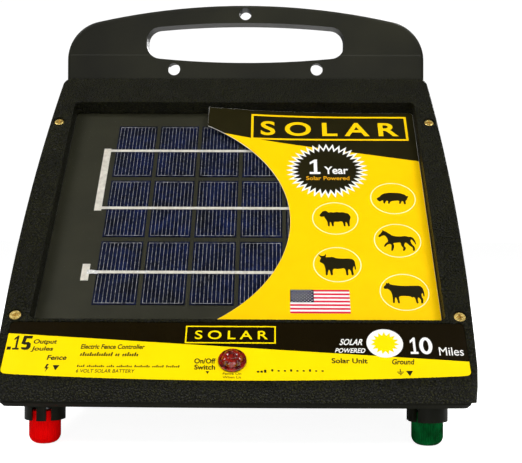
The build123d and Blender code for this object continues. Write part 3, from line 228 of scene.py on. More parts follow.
def leather_grain(name, dark, light, rough, spec, depth):
    """Moulded leather grain: dull pebbles lightened in colour as a painted highlight, with the creases
    between them darkened as painted shade, over soft patches of tone.
    """
    material, shader, place = start(name, Specular_IOR_Level=spec)
    body = ramp(material, noise(material, place, 60.0, 4.0), dark, light)
    warp = add_node(
        material, "ShaderNodeTexNoise", {"Vector": place, "Scale": GRAIN_WARP_SCALE, "Detail": 2.0}
    ).outputs["Color"]
    shift = add_node(
        material, "ShaderNodeVectorMath", {0: warp, "Scale": GRAIN_WARP * MM}, operation="SCALE"
    ).outputs["Vector"]
    moved = add_node(material, "ShaderNodeVectorMath", {0: place, 1: shift}, operation="ADD")
    pebbles = grains(material, moved.outputs["Vector"], GRAIN_SCALE)["Distance"]
    # painted highlight on the pebbles and painted shade in the creases, multiplied into the base colour
    pebble_highlight_and_crease_shade = ramp(material, pebbles, PEBBLE_HIGHLIGHT_TINT, CREASE_SHADE_TINT, (0.05, 0.5))
    link(material, multiplied(material, body, pebble_highlight_and_crease_shade), shader.inputs["Base Color"])
    fine = noise(material, place, GRAIN_FINE_SCALE)
    creases = bump(material, pebbles, 1.0, depth, sunk=True)
    link(material, bump(material, fine, 0.5, depth * 0.3, creases), shader.inputs["Normal"])
    link(material, scaled(material, pebbles, rough[1], rough[0]), shader.inputs["Roughness"])
    return material


def print_ink(name, dark, light, rough=(0.3, 0.42), spec=0.08):
    """Ink on coated card or vinyl: nearly even colour with a fine screen and slight orange peel."""
    return plain(name, dark, light, rough, 45.0, 2200.0, 0.008, 0.35, Specular_IOR_Level=spec)


def silicon(name):
    """Multicrystalline cells: angular crystals of uneven shade, navy with bluer, cloudy patches."""
    material, shader, place = start(name, Specular_IOR_Level=0.12)
    crystal = grains(material, place, 330.0)["Color"]
    shade = add_node(material, "ShaderNodeSeparateColor", {"Color": crystal}).outputs["Red"]
    cloudy = noise(material, place, 60.0, 4.0)
    body = ramp(material, cloudy, (0.0006, 0.0014, 0.0046), (0.0010, 0.0046, 0.032), (0.3, 0.72))
    tint = ramp(material, shade, (0.5, 0.5, 0.5), (1.6, 1.6, 1.6), (0.0, 1.0))
    link(material, multiplied(material, body, tint), shader.inputs["Base Color"])
    link(material, scaled(material, shade, 0.32, 0.5), shader.inputs["Roughness"])
    link(material, bump(material, cloudy, 0.3, 0.01), shader.inputs["Normal"])
    return material


def clear_film(name):
    """The laminate's clear, faintly rippled top film: see-through, with a soft sheen."""
    material = bpy.data.materials.new(name)
    material.use_nodes = True
    tree = material.node_tree
    tree.nodes.remove(tree.nodes["Principled BSDF"])
    place = add_node(material, "ShaderNodeTexCoord").outputs["Object"]
    rippled = bump(material, noise(material, place, 420.0), 0.5, 0.03)
    clear = add_node(material, "ShaderNodeBsdfTransparent").outputs["BSDF"]
    rough = scaled(material, noise(material, place, 150.0), 0.28, 0.42)
    sheen = add_node(material, "ShaderNodeBsdfAnisotropic", {"Roughness": rough, "Normal": rippled})
    facing = add_node(material, "ShaderNodeLayerWeight", {"Blend": 0.05, "Normal": rippled})
    shaders = {0: facing.outputs["Fresnel"], 1: clear, 2: sheen.outputs["BSDF"]}
    mixed = add_node(material, "ShaderNodeMixShader", shaders)
    link(material, mixed.outputs["Shader"], tree.nodes["Material Output"].inputs["Surface"])
    return material


def jewel(name, dark, light):
    """Moulded translucent lens plastic, a little cloudy inside."""
    material, shader, place = start(
        name, Transmission_Weight=0.1, IOR=1.49, Coat_Weight=1.0, Coat_IOR=1.9, Coat_Roughness=0.02,
        Specular_IOR_Level=0.1,
    )
    cloudy = noise(material, place, 260.0)
    link(material, ramp(material, cloudy, dark, light, (0.42, 0.58)), shader.inputs["Base Color"])
    link(material, scaled(material, cloudy, 0.05, 0.12), shader.inputs["Roughness"])
    link(material, bump(material, cloudy, 0.2, 0.01), shader.inputs["Normal"])
    return material


materials = {
    "housing_black": plain(
        "satin_black", (0.004, 0.004, 0.0014), (0.017, 0.017, 0.0075), (0.38, 0.52), 14.0, 1400.0, 0.04, 0.45,
        Specular_IOR_Level=0.2,
    ),
    "bezel_black": leather_grain(
        "grained_black", (0.0085, 0.0085, 0.0014), (0.017, 0.017, 0.0038), (0.27, 0.55), 0.17, 1.3
    ),
    "seal_foam": plain(
        "seal_foam", (0.010, 0.010, 0.009), (0.02, 0.02, 0.018), (0.8, 0.95), 200.0, 2400.0, 0.15, 0.8
    ),
    "yellow_zinc": metal(
        "yellow_zinc", (0.30, 0.17, 0.02), (1.0, 0.76, 0.24), (0.2, 0.35), scale=1300.0, metallic=0.6
    ),
    "printed_strip": print_ink(
        "strip_black", (0.0065, 0.004, 0.0005), (0.008, 0.005, 0.0008), (0.16, 0.24), 0.12
    ),
    "printed_card": print_ink("card_yellow", (0.94, 0.575, 0.0002), (0.97, 0.61, 0.0004)),
    "red_lens": jewel("red_lens", (0.09, 0.0012, 0.0002), (0.34, 0.008, 0.001)),
    "tape_black": plain(
        "foam_tape", (0.012, 0.012, 0.012), (0.022, 0.022, 0.02), (0.7, 0.85), 160.0, 1900.0, 0.08, 0.6
    ),
    "laminate_dark": plain(
        "laminate_dark", (0.017, 0.0168, 0.008), (0.023, 0.0225, 0.011), (0.5, 0.65), 40.0, 1300.0, 0.03, 0.5,
        Specular_IOR_Level=0.2,
    ),
    "silicon_blue": silicon("silicon_blue"),
    "tinned_ribbon": metal(
        "tinned_ribbon", (0.62, 0.58, 0.50), (0.84, 0.80, 0.70), (0.3, 0.45), (0.15, 1.0, 1.0), 700.0,
        metallic=0.3,
    ),
    "clear_film": clear_film("clear_film"),
    "plated_nut": metal("plated_nut", (0.55, 0.55, 0.53), (0.75, 0.75, 0.73), (0.2, 0.35)),
    "led_red": jewel("led_red", (0.6, 0.02, 0.02), (0.8, 0.05, 0.04)),
    "collar_black": plain(
        "collar_black", (0.005, 0.0055, 0.0022), (0.009, 0.010, 0.005), (0.36, 0.46), 140.0, 1700.0, 0.02,
        0.4, Specular_IOR_Level=0.1,
    ),
    "zinc_steel": metal("zinc_steel", (0.42, 0.43, 0.45), (0.66, 0.67, 0.68), (0.28, 0.42), scale=600.0),
    "knob_red": plain(
        "knob_red", (0.96, 0.0002, 0.0004), (0.99, 0.0005, 0.0010), (0.36, 0.48), 160.0, 1600.0, 0.03, 0.5,
        Specular_IOR_Level=0.02,
    ),
    "knob_green": plain(
        "knob_green", (0.0002, 0.034, 0.005), (0.0004, 0.150, 0.030), (0.36, 0.48), 160.0, 1600.0, 0.03, 0.5,
        Specular_IOR_Level=0.03,
    ),
    "brass_insert": metal("brass", (0.6, 0.42, 0.16), (0.8, 0.6, 0.28), (0.25, 0.4)),
    "switch_black": plain(
        "switch_black", (0.008, 0.008, 0.008), (0.014, 0.014, 0.013), (0.3, 0.42), 200.0, 1500.0, 0.02, 0.35
    ),
    "tinned_copper": metal("tinned_copper", (0.58, 0.55, 0.50), (0.76, 0.73, 0.68), (0.25, 0.4), scale=700.0),
    "foam_pad": plain(
        "foam_pad", (0.03, 0.03, 0.03), (0.06, 0.06, 0.058), (0.85, 0.97), 260.0, 1600.0, 0.3, 0.9
    ),
    "battery_case": plain(
        "battery_case", (0.06, 0.065, 0.075), (0.095, 0.10, 0.115), (0.4, 0.55), 50.0, 1200.0, 0.04, 0.5
    ),
    "strap_steel": metal(
        "strap_steel", (0.38, 0.38, 0.37), (0.58, 0.58, 0.56), (0.3, 0.5), (0.12, 1.0, 1.0), 800.0, 0.012
    ),
    "board_green": plain(
        "board_green", (0.006, 0.045, 0.014), (0.012, 0.085, 0.028), (0.25, 0.4), 420.0, 900.0, 0.02, 0.4
    ),
    "capacitor_sleeve": plain(
        "capacitor_sleeve", (0.012, 0.018, 0.06), (0.02, 0.03, 0.10), (0.3, 0.4), 120.0, 1400.0, 0.015, 0.3
    ),
    "ferrite": plain(
        "ferrite", (0.018, 0.017, 0.017), (0.04, 0.038, 0.036), (0.55, 0.75), 500.0, 2100.0, 0.05, 0.7
    ),
    "anodised": metal(
        "anodised", (0.05, 0.05, 0.055), (0.09, 0.09, 0.095), (0.35, 0.5), (1.0, 1.0, 0.1), 900.0
    ),
    "chip_epoxy": plain(
        "chip_epoxy", (0.010, 0.010, 0.011), (0.02, 0.02, 0.021), (0.5, 0.65), 500.0, 2500.0, 0.02, 0.5
    ),
    "resistor_body": plain(
        "resistor_body", (0.36, 0.24, 0.12), (0.50, 0.36, 0.19), (0.4, 0.55), 900.0, 2000.0, 0.02, 0.4
    ),
    "header_white": plain(
        "header_white", (0.62, 0.60, 0.54), (0.74, 0.72, 0.66), (0.35, 0.5), 260.0, 1500.0, 0.02, 0.35
    ),
    "core_steel": metal(
        "core_steel", (0.20, 0.21, 0.23), (0.36, 0.37, 0.39), (0.35, 0.55), (1.0, 1.0, 14.0), 160.0, 0.05
    ),
    "bobbin_nylon": plain(
        "bobbin_nylon", (0.60, 0.58, 0.50), (0.74, 0.72, 0.64), (0.4, 0.55), 150.0, 1100.0, 0.03, 0.4,
        Subsurface_Weight=0.1,
    ),
    "enamelled_copper": metal(
        "enamelled_copper", (0.50, 0.17, 0.06), (0.74, 0.31, 0.13), (0.25, 0.4), (0.4, 0.4, 5.0), 420.0, 0.12
    ),
    "lead_pvc": plain(
        "lead_pvc", (0.25, 0.012, 0.012), (0.36, 0.02, 0.018), (0.35, 0.5), 300.0, 1500.0, 0.02, 0.35
    ),
    "output_pvc": plain(
        "output_pvc", (0.55, 0.54, 0.50), (0.68, 0.67, 0.62), (0.35, 0.5), 300.0, 1500.0, 0.02, 0.35
    ),
}

inks = {
    "black": print_ink("ink_black", (0.011, 0.009, 0.0015), (0.015, 0.0125, 0.0025), (0.26, 0.36), 0.15),
    "card_white": print_ink("paper_white", (0.80, 0.79, 0.75), (0.88, 0.87, 0.83), (0.5, 0.6)),
    "white": print_ink("ink_white", (0.84, 0.83, 0.80), (0.90, 0.89, 0.87)),
    "pale": print_ink("ink_pale", (0.88, 0.86, 0.42), (0.93, 0.91, 0.50)),
    "card_yellow": materials["printed_card"],
    "lemon": print_ink("strip_yellow", (0.94, 0.69, 0.0006), (0.97, 0.73, 0.0012), (0.16, 0.24), 0.12),
    "gold": print_ink("ink_gold", (0.92, 0.56, 0.001), (0.96, 0.61, 0.002), spec=0.1),
    "red": print_ink("ink_red", (0.62, 0.012, 0.045), (0.72, 0.022, 0.065)),
    "blue": print_ink("ink_blue", (0.004, 0.004, 0.022), (0.007, 0.007, 0.034)),
    "orange": print_ink("ink_orange", (0.72, 0.33, 0.006), (0.80, 0.40, 0.010)),
}

for part in frame["record"]["subparts"]:
    shown = frame["nodes"][part["node"]]
    shown.data.materials.clear()
    shown.data.materials.append(materials[part["material_slot"]])
# the case behind the bezel shares the slot of the handle, and is a little darker: a darker copy of the
# handle's plastic, as painted shade for the shade that falls on the case under the bezel's lip
frame["nodes"]["rear_housing"].data.materials[0] = plain(
    "shaded_case_black", (0.005, 0.005, 0.002), (0.010, 0.010, 0.0045), (0.42, 0.55), 22.0, 1400.0, 0.04, 0.45,
    Specular_IOR_Level=0.1,
)


# ---------------------------------------------------------------- mesh helpers
def finished(mesh, name, material, body="case", smooth=False):
    """Turns a bmesh into a named piece on a body, with its faces pointing outwards."""
    bmesh.ops.recalc_face_normals(mesh, faces=mesh.faces[:])
    data = bpy.data.meshes.new(name)
    mesh.to_mesh(data)
    mesh.free()
    data.materials.append(material)
    if smooth:
        data.polygons.foreach_set("use_smooth", [True] * len(data.polygons))
    made = bpy.data.objects.new(name, data)
    scene.collection.objects.link(made)
    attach(made, body)
    return made


SNAP = 1e-5  # points nearer than this to a cut are taken as on it


def cut_into_grid(flat, grid):
    """Cuts a flat mesh along evenly spaced lines, so that it can follow a bent surface."""
    for axis in (0, 1):
        values = [vert.co[axis] for vert in flat.verts]
        cut = math.ceil(min(values) / grid) * grid
        while cut < max(values):
            point, direction = Vector(), Vector()
            point[axis], direction[axis] = cut, 1
            whole = flat.verts[:] + flat.edges[:] + flat.faces[:]
            bmesh.ops.bisect_plane(flat, geom=whole, plane_co=point, plane_no=direction, dist=SNAP)
            cut += grid


def add_plate(mesh, loops, low, high, place, grid=0.0):
    """Adds a thin closed plate to a bmesh, with an outline and holes that are loops of (x, v).

    place turns (x, v, h) into a point, and h goes from low to high.
    """
    flat = bmesh.new()
    edges = []
    for loop in loops:
        ring = [flat.verts.new((x, v, 0)) for x, v in loop]
        edges += [flat.edges.new((a, b)) for a, b in zip(ring, ring[1:] + ring[:1])]
    bmesh.ops.triangle_fill(flat, edges=edges, use_beauty=True)
    if grid:
        cut_into_grid(flat, grid)
    tops, bottoms = {}, {}
    for vert in flat.verts:
        x, v = vert.co.x, vert.co.y
        tops[vert] = mesh.verts.new(place(x, v, high))
        bottoms[vert] = mesh.verts.new(place(x, v, low))
    for face in flat.faces:
        mesh.faces.new([tops[vert] for vert in face.verts])
        mesh.faces.new([bottoms[vert] for vert in reversed(face.verts)])
    for edge in flat.edges:
        if len(edge.link_faces) == 1:
            a, b = edge.verts
            mesh.faces.new((bottoms[a], bottoms[b], tops[b], tops[a]))
    flat.free()


def plate(name, shapes, high, place, material, low=0.0, grid=0.0):
    """One piece made of flat plates; each shape is a list of loops."""
    mesh = bmesh.new()
    for loops in shapes:
        add_plate(mesh, loops, low, high, place, grid)
    return finished(mesh, name, material)


def arc(x, v, r, start_angle, end_angle, steps):
    """Points along an arc, in degrees anticlockwise."""
    angles = [math.radians(start_angle + (end_angle - start_angle) * i / steps) for i in range(steps + 1)]
    return [(x + r * math.cos(a), v + r * math.sin(a)) for a in angles]


def circle(x, v, r, steps):
    return arc(x, v, r, 0, 360, steps)[:-1]


def box(x0, x1, v0, v1, lean=0.0):
    """A rectangle, leaning to the right by lean for each unit of height."""
    shift = lean * (v1 - v0)
    return [(x0, v0), (x1, v0), (x1 + shift, v1), (x0 + shift, v1)]


def star(x, v, outer, inner, points):
    """A star's outline, with one point straight up."""
    ring = []
    for i in range(2 * points):
        angle = math.radians(90 + 180 * i / points)
        r = inner if i % 2 else outer
        ring.append((x + r * math.cos(angle), v + r * math.sin(angle)))
    return ring


def oval(x, v, wide, tall):
    return [(x + wide * dx, v + tall * dv) for dx, dv in circle(0, 0, 1, 40)]


CORNER_CUT = 0.22  # the share of a side that is cut off at each of its ends


def between(start_point, end_point, share):
    return tuple((1 - share) * a + share * b for a, b in zip(start_point, end_point))


def softened(points):
    """Cuts a polygon's corners, so that a drawn outline reads as a smooth one."""
    cut = []
    for a, b in zip(points, points[1:] + points[:1]):
        cut += [between(a, b, CORNER_CUT), between(a, b, 1 - CORNER_CUT)]
    return cut


LETTER_SMOOTH = 5


def add_letters(mesh, text, corners, high, place, low, lean, weight, tracking):
    """Adds plain raised characters from the built-in face to a bmesh, fitted to corners (x0, x1, v0, v1)."""
    x0, x1, v0, v1 = corners
    curve = bpy.data.curves.new("letters", "FONT")
    curve.body = text
    curve.resolution_u = LETTER_SMOOTH
    curve.offset = weight
    curve.space_character = tracking
    holder = bpy.data.objects.new("letters", curve)
    scene.collection.objects.link(holder)
    bpy.context.view_layer.update()
    flat = bpy.data.meshes.new_from_object(holder)
    used = sorted({i for face in flat.polygons for i in face.vertices})
    xs = [flat.vertices[i].co.x for i in used]
    ys = [flat.vertices[i].co.y for i in used]
    wide, tall = max(xs) - min(xs), max(ys) - min(ys)
    tops, bottoms = {}, {}
    for i in used:
        v = v0 + (flat.vertices[i].co.y - min(ys)) / tall * (v1 - v0)
        x = x0 + (flat.vertices[i].co.x - min(xs)) / wide * (x1 - x0) + lean * (v - v0)
        tops[i] = mesh.verts.new(place(x, v, high))
        bottoms[i] = mesh.verts.new(place(x, v, low))
    rims = {}
    for face in flat.polygons:
        ring = list(face.vertices)
        mesh.faces.new([tops[i] for i in ring])
        mesh.faces.new([bottoms[i] for i in reversed(ring)])
        for a, b in zip(ring, ring[1:] + ring[:1]):
            edge = frozenset((a, b))
            rims[edge] = None if edge in rims else (a, b)
    for a, b in filter(None, rims.values()):
        mesh.faces.new((bottoms[a], bottoms[b], tops[b], tops[a]))
    bpy.data.objects.remove(holder)
    bpy.data.curves.remove(curve)
    bpy.data.meshes.remove(flat)


def lettering(name, words, high, place, material, low, weight, tracking):
    """One piece of raised words; each is (text, (x0, x1, v0, v1), lean)."""
    mesh = bmesh.new()
    for text, corners, lean in words:
        add_letters(mesh, text, corners, high, place, low, lean, weight, tracking)
    return finished(mesh, name, material)


LETTER_WIDE = 0.66  # a block's share of a letter's step
LETTER_HEIGHTS = (0.62, 1.0, 0.66, 0.6, 0.95, 0.64)


def greeked(x0, x1, v0, v1, words, lean):
    """Small blocks for words too small to read: one block for each letter, of its own height."""
    total = sum(words) + len(words) - 1
    step = (x1 - x0) / total
    shapes, at, count = [], x0, 0
    for word in words:
        for _ in range(word):
            tall = LETTER_HEIGHTS[(count * 5 + word) % len(LETTER_HEIGHTS)]
            shapes.append([box(at, at + LETTER_WIDE * step, v0, v0 + tall * (v1 - v0), lean)])
            at += step
            count += 1
        at += step
    return shapes


# ---------------------------------------------------------------- the display card
INK, INK_OVER = 0.05, 0.09  # heights of the first and second layers of print, in millimetres
GRID = 6.0
EDGE = 0.06  # the white core shows this far along the card's round cut
PRINT_MARGIN = 0.1  # print stops this far inside other edges
CUT_STEPS, BANNER_CUT_STEPS, CORNER_STEPS, RING_STEPS = 72, 12, 6, 72


def low_corner(radius):
    """The card's rounded lower right corner, or a smaller arc inside it."""
    return arc(CARD_RIGHT - CARD_CORNER, CARD_BOTTOM + CARD_CORNER, radius, -90, 0, CORNER_STEPS)


def top_corner(radius):
    """The card's rounded upper right corner, or a smaller arc inside it."""
    return arc(CARD_RIGHT - CARD_CORNER, CARD_TOP - CARD_CORNER, radius, 0, 90, CORNER_STEPS)


cut_top = math.degrees(math.asin((CARD_CUT_TOP - CARD_CUT_V) / CARD_CUT_R))
cut_bottom = math.degrees(math.asin((CARD_BOTTOM - CARD_CUT_V) / CARD_CUT_R))
card_cut = arc(CARD_CUT_X, CARD_CUT_V, CARD_CUT_R, cut_top, cut_bottom, CUT_STEPS)
card_outline = [(CARD_LEFT, CARD_TOP), *card_cut, *low_corner(CARD_CORNER), *top_corner(CARD_CORNER)]

card = plate(
    "display_card_board", [[card_outline]], CARD_THICK, on_card, inks["card_white"], grid=GRID
)
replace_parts(card, "display_card")

BANNER_LEFT_V, BANNER_RIGHT_V = 74.6, 46.2
HALVINGS = 40


def banner_edge(x):
    """The slanting line under the black banner."""
    return BANNER_LEFT_V + (BANNER_RIGHT_V - BANNER_LEFT_V) * (x - CARD_LEFT) / (CARD_RIGHT - CARD_LEFT)


def print_cut(start_angle, end_angle, steps):
    """The printed area's edge along the round cut."""
    return arc(CARD_CUT_X, CARD_CUT_V, CARD_CUT_R + EDGE, start_angle, end_angle, steps)


def cut_point(angle):
    return print_cut(angle, angle, 1)[0]


above, below = cut_top, cut_bottom  # the cut crosses the banner's edge between these angles
for _ in range(HALVINGS):
    crossing = (above + below) / 2
    x, v = cut_point(crossing)
    above, below = (crossing, below) if v > banner_edge(x) else (above, crossing)
banner_end = (CARD_RIGHT - PRINT_MARGIN, banner_edge(CARD_RIGHT))
print_corner = CARD_CORNER - PRINT_MARGIN
print_left = CARD_LEFT + PRINT_MARGIN
banner = [(print_left, CARD_TOP - PRINT_MARGIN), (print_left, cut_point(cut_top)[1])]
banner += [*print_cut(cut_top, crossing, BANNER_CUT_STEPS)[1:], banner_end, *top_corner(print_corner)]
yellow = print_cut(crossing, cut_bottom, CUT_STEPS)[:-1]
yellow += [(cut_point(cut_bottom)[0], CARD_BOTTOM + PRINT_MARGIN), *low_corner(print_corner), banner_end]


def on_card_top(x, v, h):
    return on_card(x, v, CARD_THICK + h)


def card_print(name, shapes, high, ink, low=0.0, grid=0.0):
    """A printed area on the card, from height low to high."""
    plate(name, shapes, high, on_card_top, inks[ink], low, grid)


def card_words(name, words, high, ink, low, weight, tracking=1.0):
    lettering(name, words, high, on_card_top, inks[ink], low, weight, tracking)


card_print("card_yellow_field", [[yellow]], INK, "card_yellow", grid=GRID)
card_print("card_banner", [[banner]], INK, "black", grid=GRID)

# a plain framed heading on the banner
heading_frame = [box(5.0, 112.0, 67.4, 93.0), box(6.6, 110.4, 69.0, 91.4)]
card_print("card_heading_frame", [heading_frame], INK_OVER, "gold", INK, GRID)
card_words("card_heading", [("SOLAR", (11.6, 105.6, 72.0, 86.4), 0.0)], INK_OVER, "gold", INK, 0.02, 1.5)

# the notched badge
BADGE_X, BADGE_V, BADGE_POINTS = 55.7, 37.0, 36
DISC_TOP, BADGE_TOP = INK_OVER + 0.04, INK_OVER + 0.08
card_print("badge_rim", [[star(BADGE_X, BADGE_V, 27.0, 21.5, BADGE_POINTS)]], INK_OVER, "white", INK)
card_print("badge_disc", [[star(BADGE_X, BADGE_V, 23.6, 18.8, BADGE_POINTS)]], DISC_TOP, "black", INK_OVER)
ONE = [
    (0.0, 0.0), (1.0, 0.0), (1.0, 0.13), (0.72, 0.13), (0.72, 1.0), (0.5, 1.0), (0.02, 0.80), (0.02, 0.66),
    (0.40, 0.79), (0.40, 0.13), (0.0, 0.13),
]


def numeral_one(x0, x1, v0, v1):
    """A foot, a stem and a flag, fitted to a box."""
    return [(x0 + x * (x1 - x0), v0 + v * (v1 - v0)) for x, v in ONE]


card_print("badge_numeral", [[numeral_one(44.2, 51.2, 33.2, 47.6)]], BADGE_TOP, "white", DISC_TOP)
card_words("badge_word", [("Year", (53.8, 69.4, 33.2, 40.6), 0.0)], BADGE_TOP, "white", DISC_TOP, 0.02)
card_words(
    "badge_words", [("Solar Powered", (41.8, 70.0, 27.2, 31.0), 0.0)], BADGE_TOP, "orange", DISC_TOP, 0.012
)

# livestock pictograms in rings; each outline is in millimetres about its ring's centre
PIG = [
    (-10.2, -1.6), (-10.4, 0.2), (-8.6, 1.4), (-7.2, 3.4), (-5.6, 4.6), (-1.5, 5.4), (4.0, 5.2), (7.6, 3.8),
    (9.0, 1.8), (10.3, 2.8), (9.3, 0.4), (8.8, -1.2), (7.8, -2.2), (8.0, -5.4), (6.6, -5.4), (6.4, -2.8),
    (5.4, -2.4), (4.6, -5.0), (3.4, -5.0), (4.0, -1.8), (-1.8, -2.6), (-2.4, -5.0), (-3.6, -5.0),
    (-3.2, -2.4), (-4.6, -2.2), (-5.4, -4.8), (-6.4, -4.8), (-6.4, -1.4), (-8.6, -3.2),
]
SHEEP = [
    (-9.8, 2.2), (-9.6, 3.4), (-8.6, 5.0), (-7.6, 6.4), (-6.0, 6.9), (-4.8, 6.2), (-4.2, 5.0), (-2.6, 5.6),
    (-0.8, 5.2), (1.0, 5.8), (3.0, 5.3), (4.8, 5.6), (6.6, 4.8), (8.2, 4.4), (9.2, 2.8), (9.8, 1.0),
    (9.3, -0.8), (9.0, -2.2), (8.8, -4.2), (8.9, -7.2), (7.7, -7.2), (7.4, -4.6), (6.4, -3.0), (6.2, -4.8),
    (6.3, -7.2), (5.1, -7.2), (4.8, -4.2), (4.0, -2.6), (1.6, -3.3), (-0.6, -3.0), (-1.2, -4.6),
    (-1.1, -7.2), (-2.3, -7.2), (-2.6, -4.4), (-3.2, -3.0), (-3.6, -4.6), (-3.7, -7.2), (-4.9, -7.2),
    (-4.9, -4.0), (-5.6, -1.6), (-6.6, 0.2), (-6.9, 1.8), (-8.2, 1.2), (-9.2, 1.4),
]
HORSE = [
    (-11.6, 3.4), (-11.2, 4.6), (-9.6, 6.6), (-8.9, 8.0), (-8.6, 9.3), (-7.9, 8.3), (-6.4, 7.6),
    (-4.6, 5.9), (-3.0, 4.2), (-0.5, 3.6), (2.5, 3.5), (5.2, 4.0), (7.2, 3.2), (8.6, 3.4), (10.2, 1.8),
    (11.0, -1.0), (11.2, -4.2), (10.2, -1.8), (9.2, 0.4), (8.2, 1.2), (8.0, -1.0), (8.6, -3.2),
    (10.2, -5.6), (10.0, -8.9), (8.7, -8.9), (8.9, -6.0), (7.0, -4.4), (5.6, -2.2), (4.6, -1.6),
    (3.6, -4.4), (4.8, -6.6), (3.6, -9.0), (2.4, -8.6), (3.2, -6.6), (1.9, -4.4), (1.8, -1.6), (-1.6, -2.0),
    (-3.0, -2.4), (-2.2, -4.6), (-3.4, -8.9), (-4.6, -8.9), (-3.9, -4.4), (-4.6, -2.8), (-6.6, -3.6),
    (-8.0, -5.6), (-8.8, -5.2), (-7.6, -2.6), (-5.8, -1.0), (-6.0, 1.0), (-6.6, 3.0), (-7.8, 4.6),
    (-9.6, 3.8), (-10.8, 2.7),
]
BULL = [
    (-10.6, 2.0), (-10.4, 3.6), (-9.6, 5.4), (-10.6, 6.6), (-11.4, 8.6), (-10.2, 7.4), (-8.9, 6.9),
    (-7.6, 7.3), (-6.4, 9.0), (-6.6, 7.0), (-6.9, 6.0), (-5.0, 6.0), (-2.6, 6.3), (-0.6, 5.2), (3.0, 4.8),
    (7.0, 5.0), (9.4, 4.5), (10.6, 2.8), (10.9, -1.0), (11.2, -4.0), (10.4, -4.4), (10.1, -1.2),
    (9.6, -2.0), (9.2, -4.4), (9.6, -9.0), (8.3, -9.0), (7.9, -5.4), (6.8, -3.6), (6.2, -5.4), (6.4, -9.0),
    (5.1, -9.0), (4.8, -5.0), (4.2, -3.0), (0.4, -3.8), (-2.4, -3.6), (-3.0, -5.4), (-2.9, -9.0),
    (-4.2, -9.0), (-4.6, -5.4), (-5.2, -4.2), (-5.8, -6.0), (-6.0, -9.0), (-7.3, -9.0), (-7.2, -5.0),
    (-7.6, -2.0), (-8.2, 0.4), (-9.4, 1.2),
]
COW = [
    (-12.0, 3.0), (-11.9, 4.4), (-10.6, 5.8), (-10.2, 7.4), (-9.3, 6.8), (-8.6, 7.6), (-8.2, 6.2),
    (-6.0, 5.6), (-2.5, 5.0), (2.0, 4.9), (6.5, 5.2), (9.6, 5.0), (11.0, 3.4), (11.5, 0.4), (11.6, -3.2),
    (10.9, -3.6), (10.6, -0.4), (9.8, -1.6), (9.9, -3.8), (10.6, -5.4), (10.2, -8.8), (9.0, -8.8),
    (9.1, -5.8), (7.8, -3.8), (7.2, -5.6), (7.6, -8.8), (6.4, -8.8), (6.0, -5.4), (5.2, -3.6), (4.4, -4.4),
    (3.2, -3.2), (-1.0, -3.0), (-3.4, -3.4), (-3.5, -5.4), (-3.2, -8.8), (-4.4, -8.8), (-4.8, -5.4),
    (-5.4, -3.8), (-6.0, -5.4), (-6.2, -8.6), (-7.4, -8.6), (-7.2, -5.0), (-7.4, -1.6), (-8.2, 1.2),
    (-9.6, 2.6), (-11.0, 2.4),
]
RING_R, RING_LINE = 14.5, 0.55
PICTOGRAMS = [
    ("pig", PIG, 96.9, 10.0),
    ("sheep", SHEEP, 59.3, -8.5),
    ("horse", HORSE, 96.8, -28.0),
    ("bull", BULL, 59.0, -48.5),
    ("cow", COW, 97.5, -70.7),
]
for name, outline, x, v in PICTOGRAMS:
    ring = [circle(x, v, RING_R, RING_STEPS), circle(x, v, RING_R - RING_LINE, RING_STEPS)]
    card_print(f"ring_{name}", [ring], INK_OVER, "pale", INK, GRID)
    body = [(x + dx, v + dv) for dx, dv in softened(outline)]
    card_print(f"pictogram_{name}", [[body]], INK_OVER, "black", INK)

# a small striped flag with a dotted corner
FLAG_LEFT, FLAG_RIGHT, FLAG_LOW, FLAG_HIGH, FLAG_STRIPES = 30.4, 65.2, -87.6, -69.2, 13
RED_TOP, CORNER_TOP, DOT_TOP = INK_OVER + 0.03, INK_OVER + 0.06, INK_OVER + 0.09
stripe = (FLAG_HIGH - FLAG_LOW) / FLAG_STRIPES
card_print("badge_stripes_white", [[box(FLAG_LEFT, FLAG_RIGHT, FLAG_LOW, FLAG_HIGH)]], INK_OVER, "white", INK)
red_stripes = [
    [box(FLAG_LEFT, FLAG_RIGHT, FLAG_LOW + i * stripe, FLAG_LOW + (i + 1) * stripe)]
    for i in range(0, FLAG_STRIPES, 2)
]
card_print("badge_stripes_red", red_stripes, RED_TOP, "red", INK_OVER)
CANTON_RIGHT, CANTON_STRIPES = 44.2, 7
canton_low = FLAG_HIGH - CANTON_STRIPES * stripe
canton = box(FLAG_LEFT, CANTON_RIGHT, canton_low, FLAG_HIGH)
card_print("badge_corner", [[canton]], CORNER_TOP, "blue", INK_OVER)
DOT_COLUMNS, DOT_ROWS, DOT_R = 6, 9, 0.33


def dot(column, row):
    """One dot of the corner's staggered rows."""
    x = FLAG_LEFT + (column + 0.5 + 0.5 * (row % 2)) * (CANTON_RIGHT - FLAG_LEFT) / (DOT_COLUMNS + 0.5)
    v = canton_low + (row + 0.5) * (FLAG_HIGH - canton_low) / DOT_ROWS
    return circle(x, v, DOT_R, 8)


dots = [[dot(column, row)] for column in range(DOT_COLUMNS) for row in range(DOT_ROWS)]
card_print("badge_dots", dots, DOT_TOP, "white", CORNER_TOP)

# ---------------------------------------------------------------- the printed strip along the lip
STRIP_HALF = 127.3
STRIP_BOW_R, STRIP_BOTTOM = 2034.7, -141.9
STRIP_CORNER = 2.7
LAMP_X, LAMP_V = -1.7, -128.5
LENS_R, LENS_CLEARANCE = 7.8, 0.05
DIVIDE_X, DIVIDE_V, DIVIDE_FALL = 4.3, -119.2, 0.0728
BOTTOM_STEPS = 60


def strip_edge(x):
    """The bowed lower edge of the strip."""
    return STRIP_BOTTOM + STRIP_BOW_R - math.sqrt(STRIP_BOW_R**2 - x**2)


def strip_divide(x):
    """The line between the strip's black top and its yellow part."""
    return DIVIDE_V - DIVIDE_FALL * (x - DIVIDE_X)


def strip_print(name, shapes, high, ink, low=0.0):
    """A printed area on the strip, from height low to high."""
    plate(name, shapes, high, on_label, inks[ink], low)


def strip_words(name, words, high, ink, low=0.0, weight=0.0, tracking=1.0):
    lettering(name, words, high, on_label, inks[ink], low, weight, tracking)


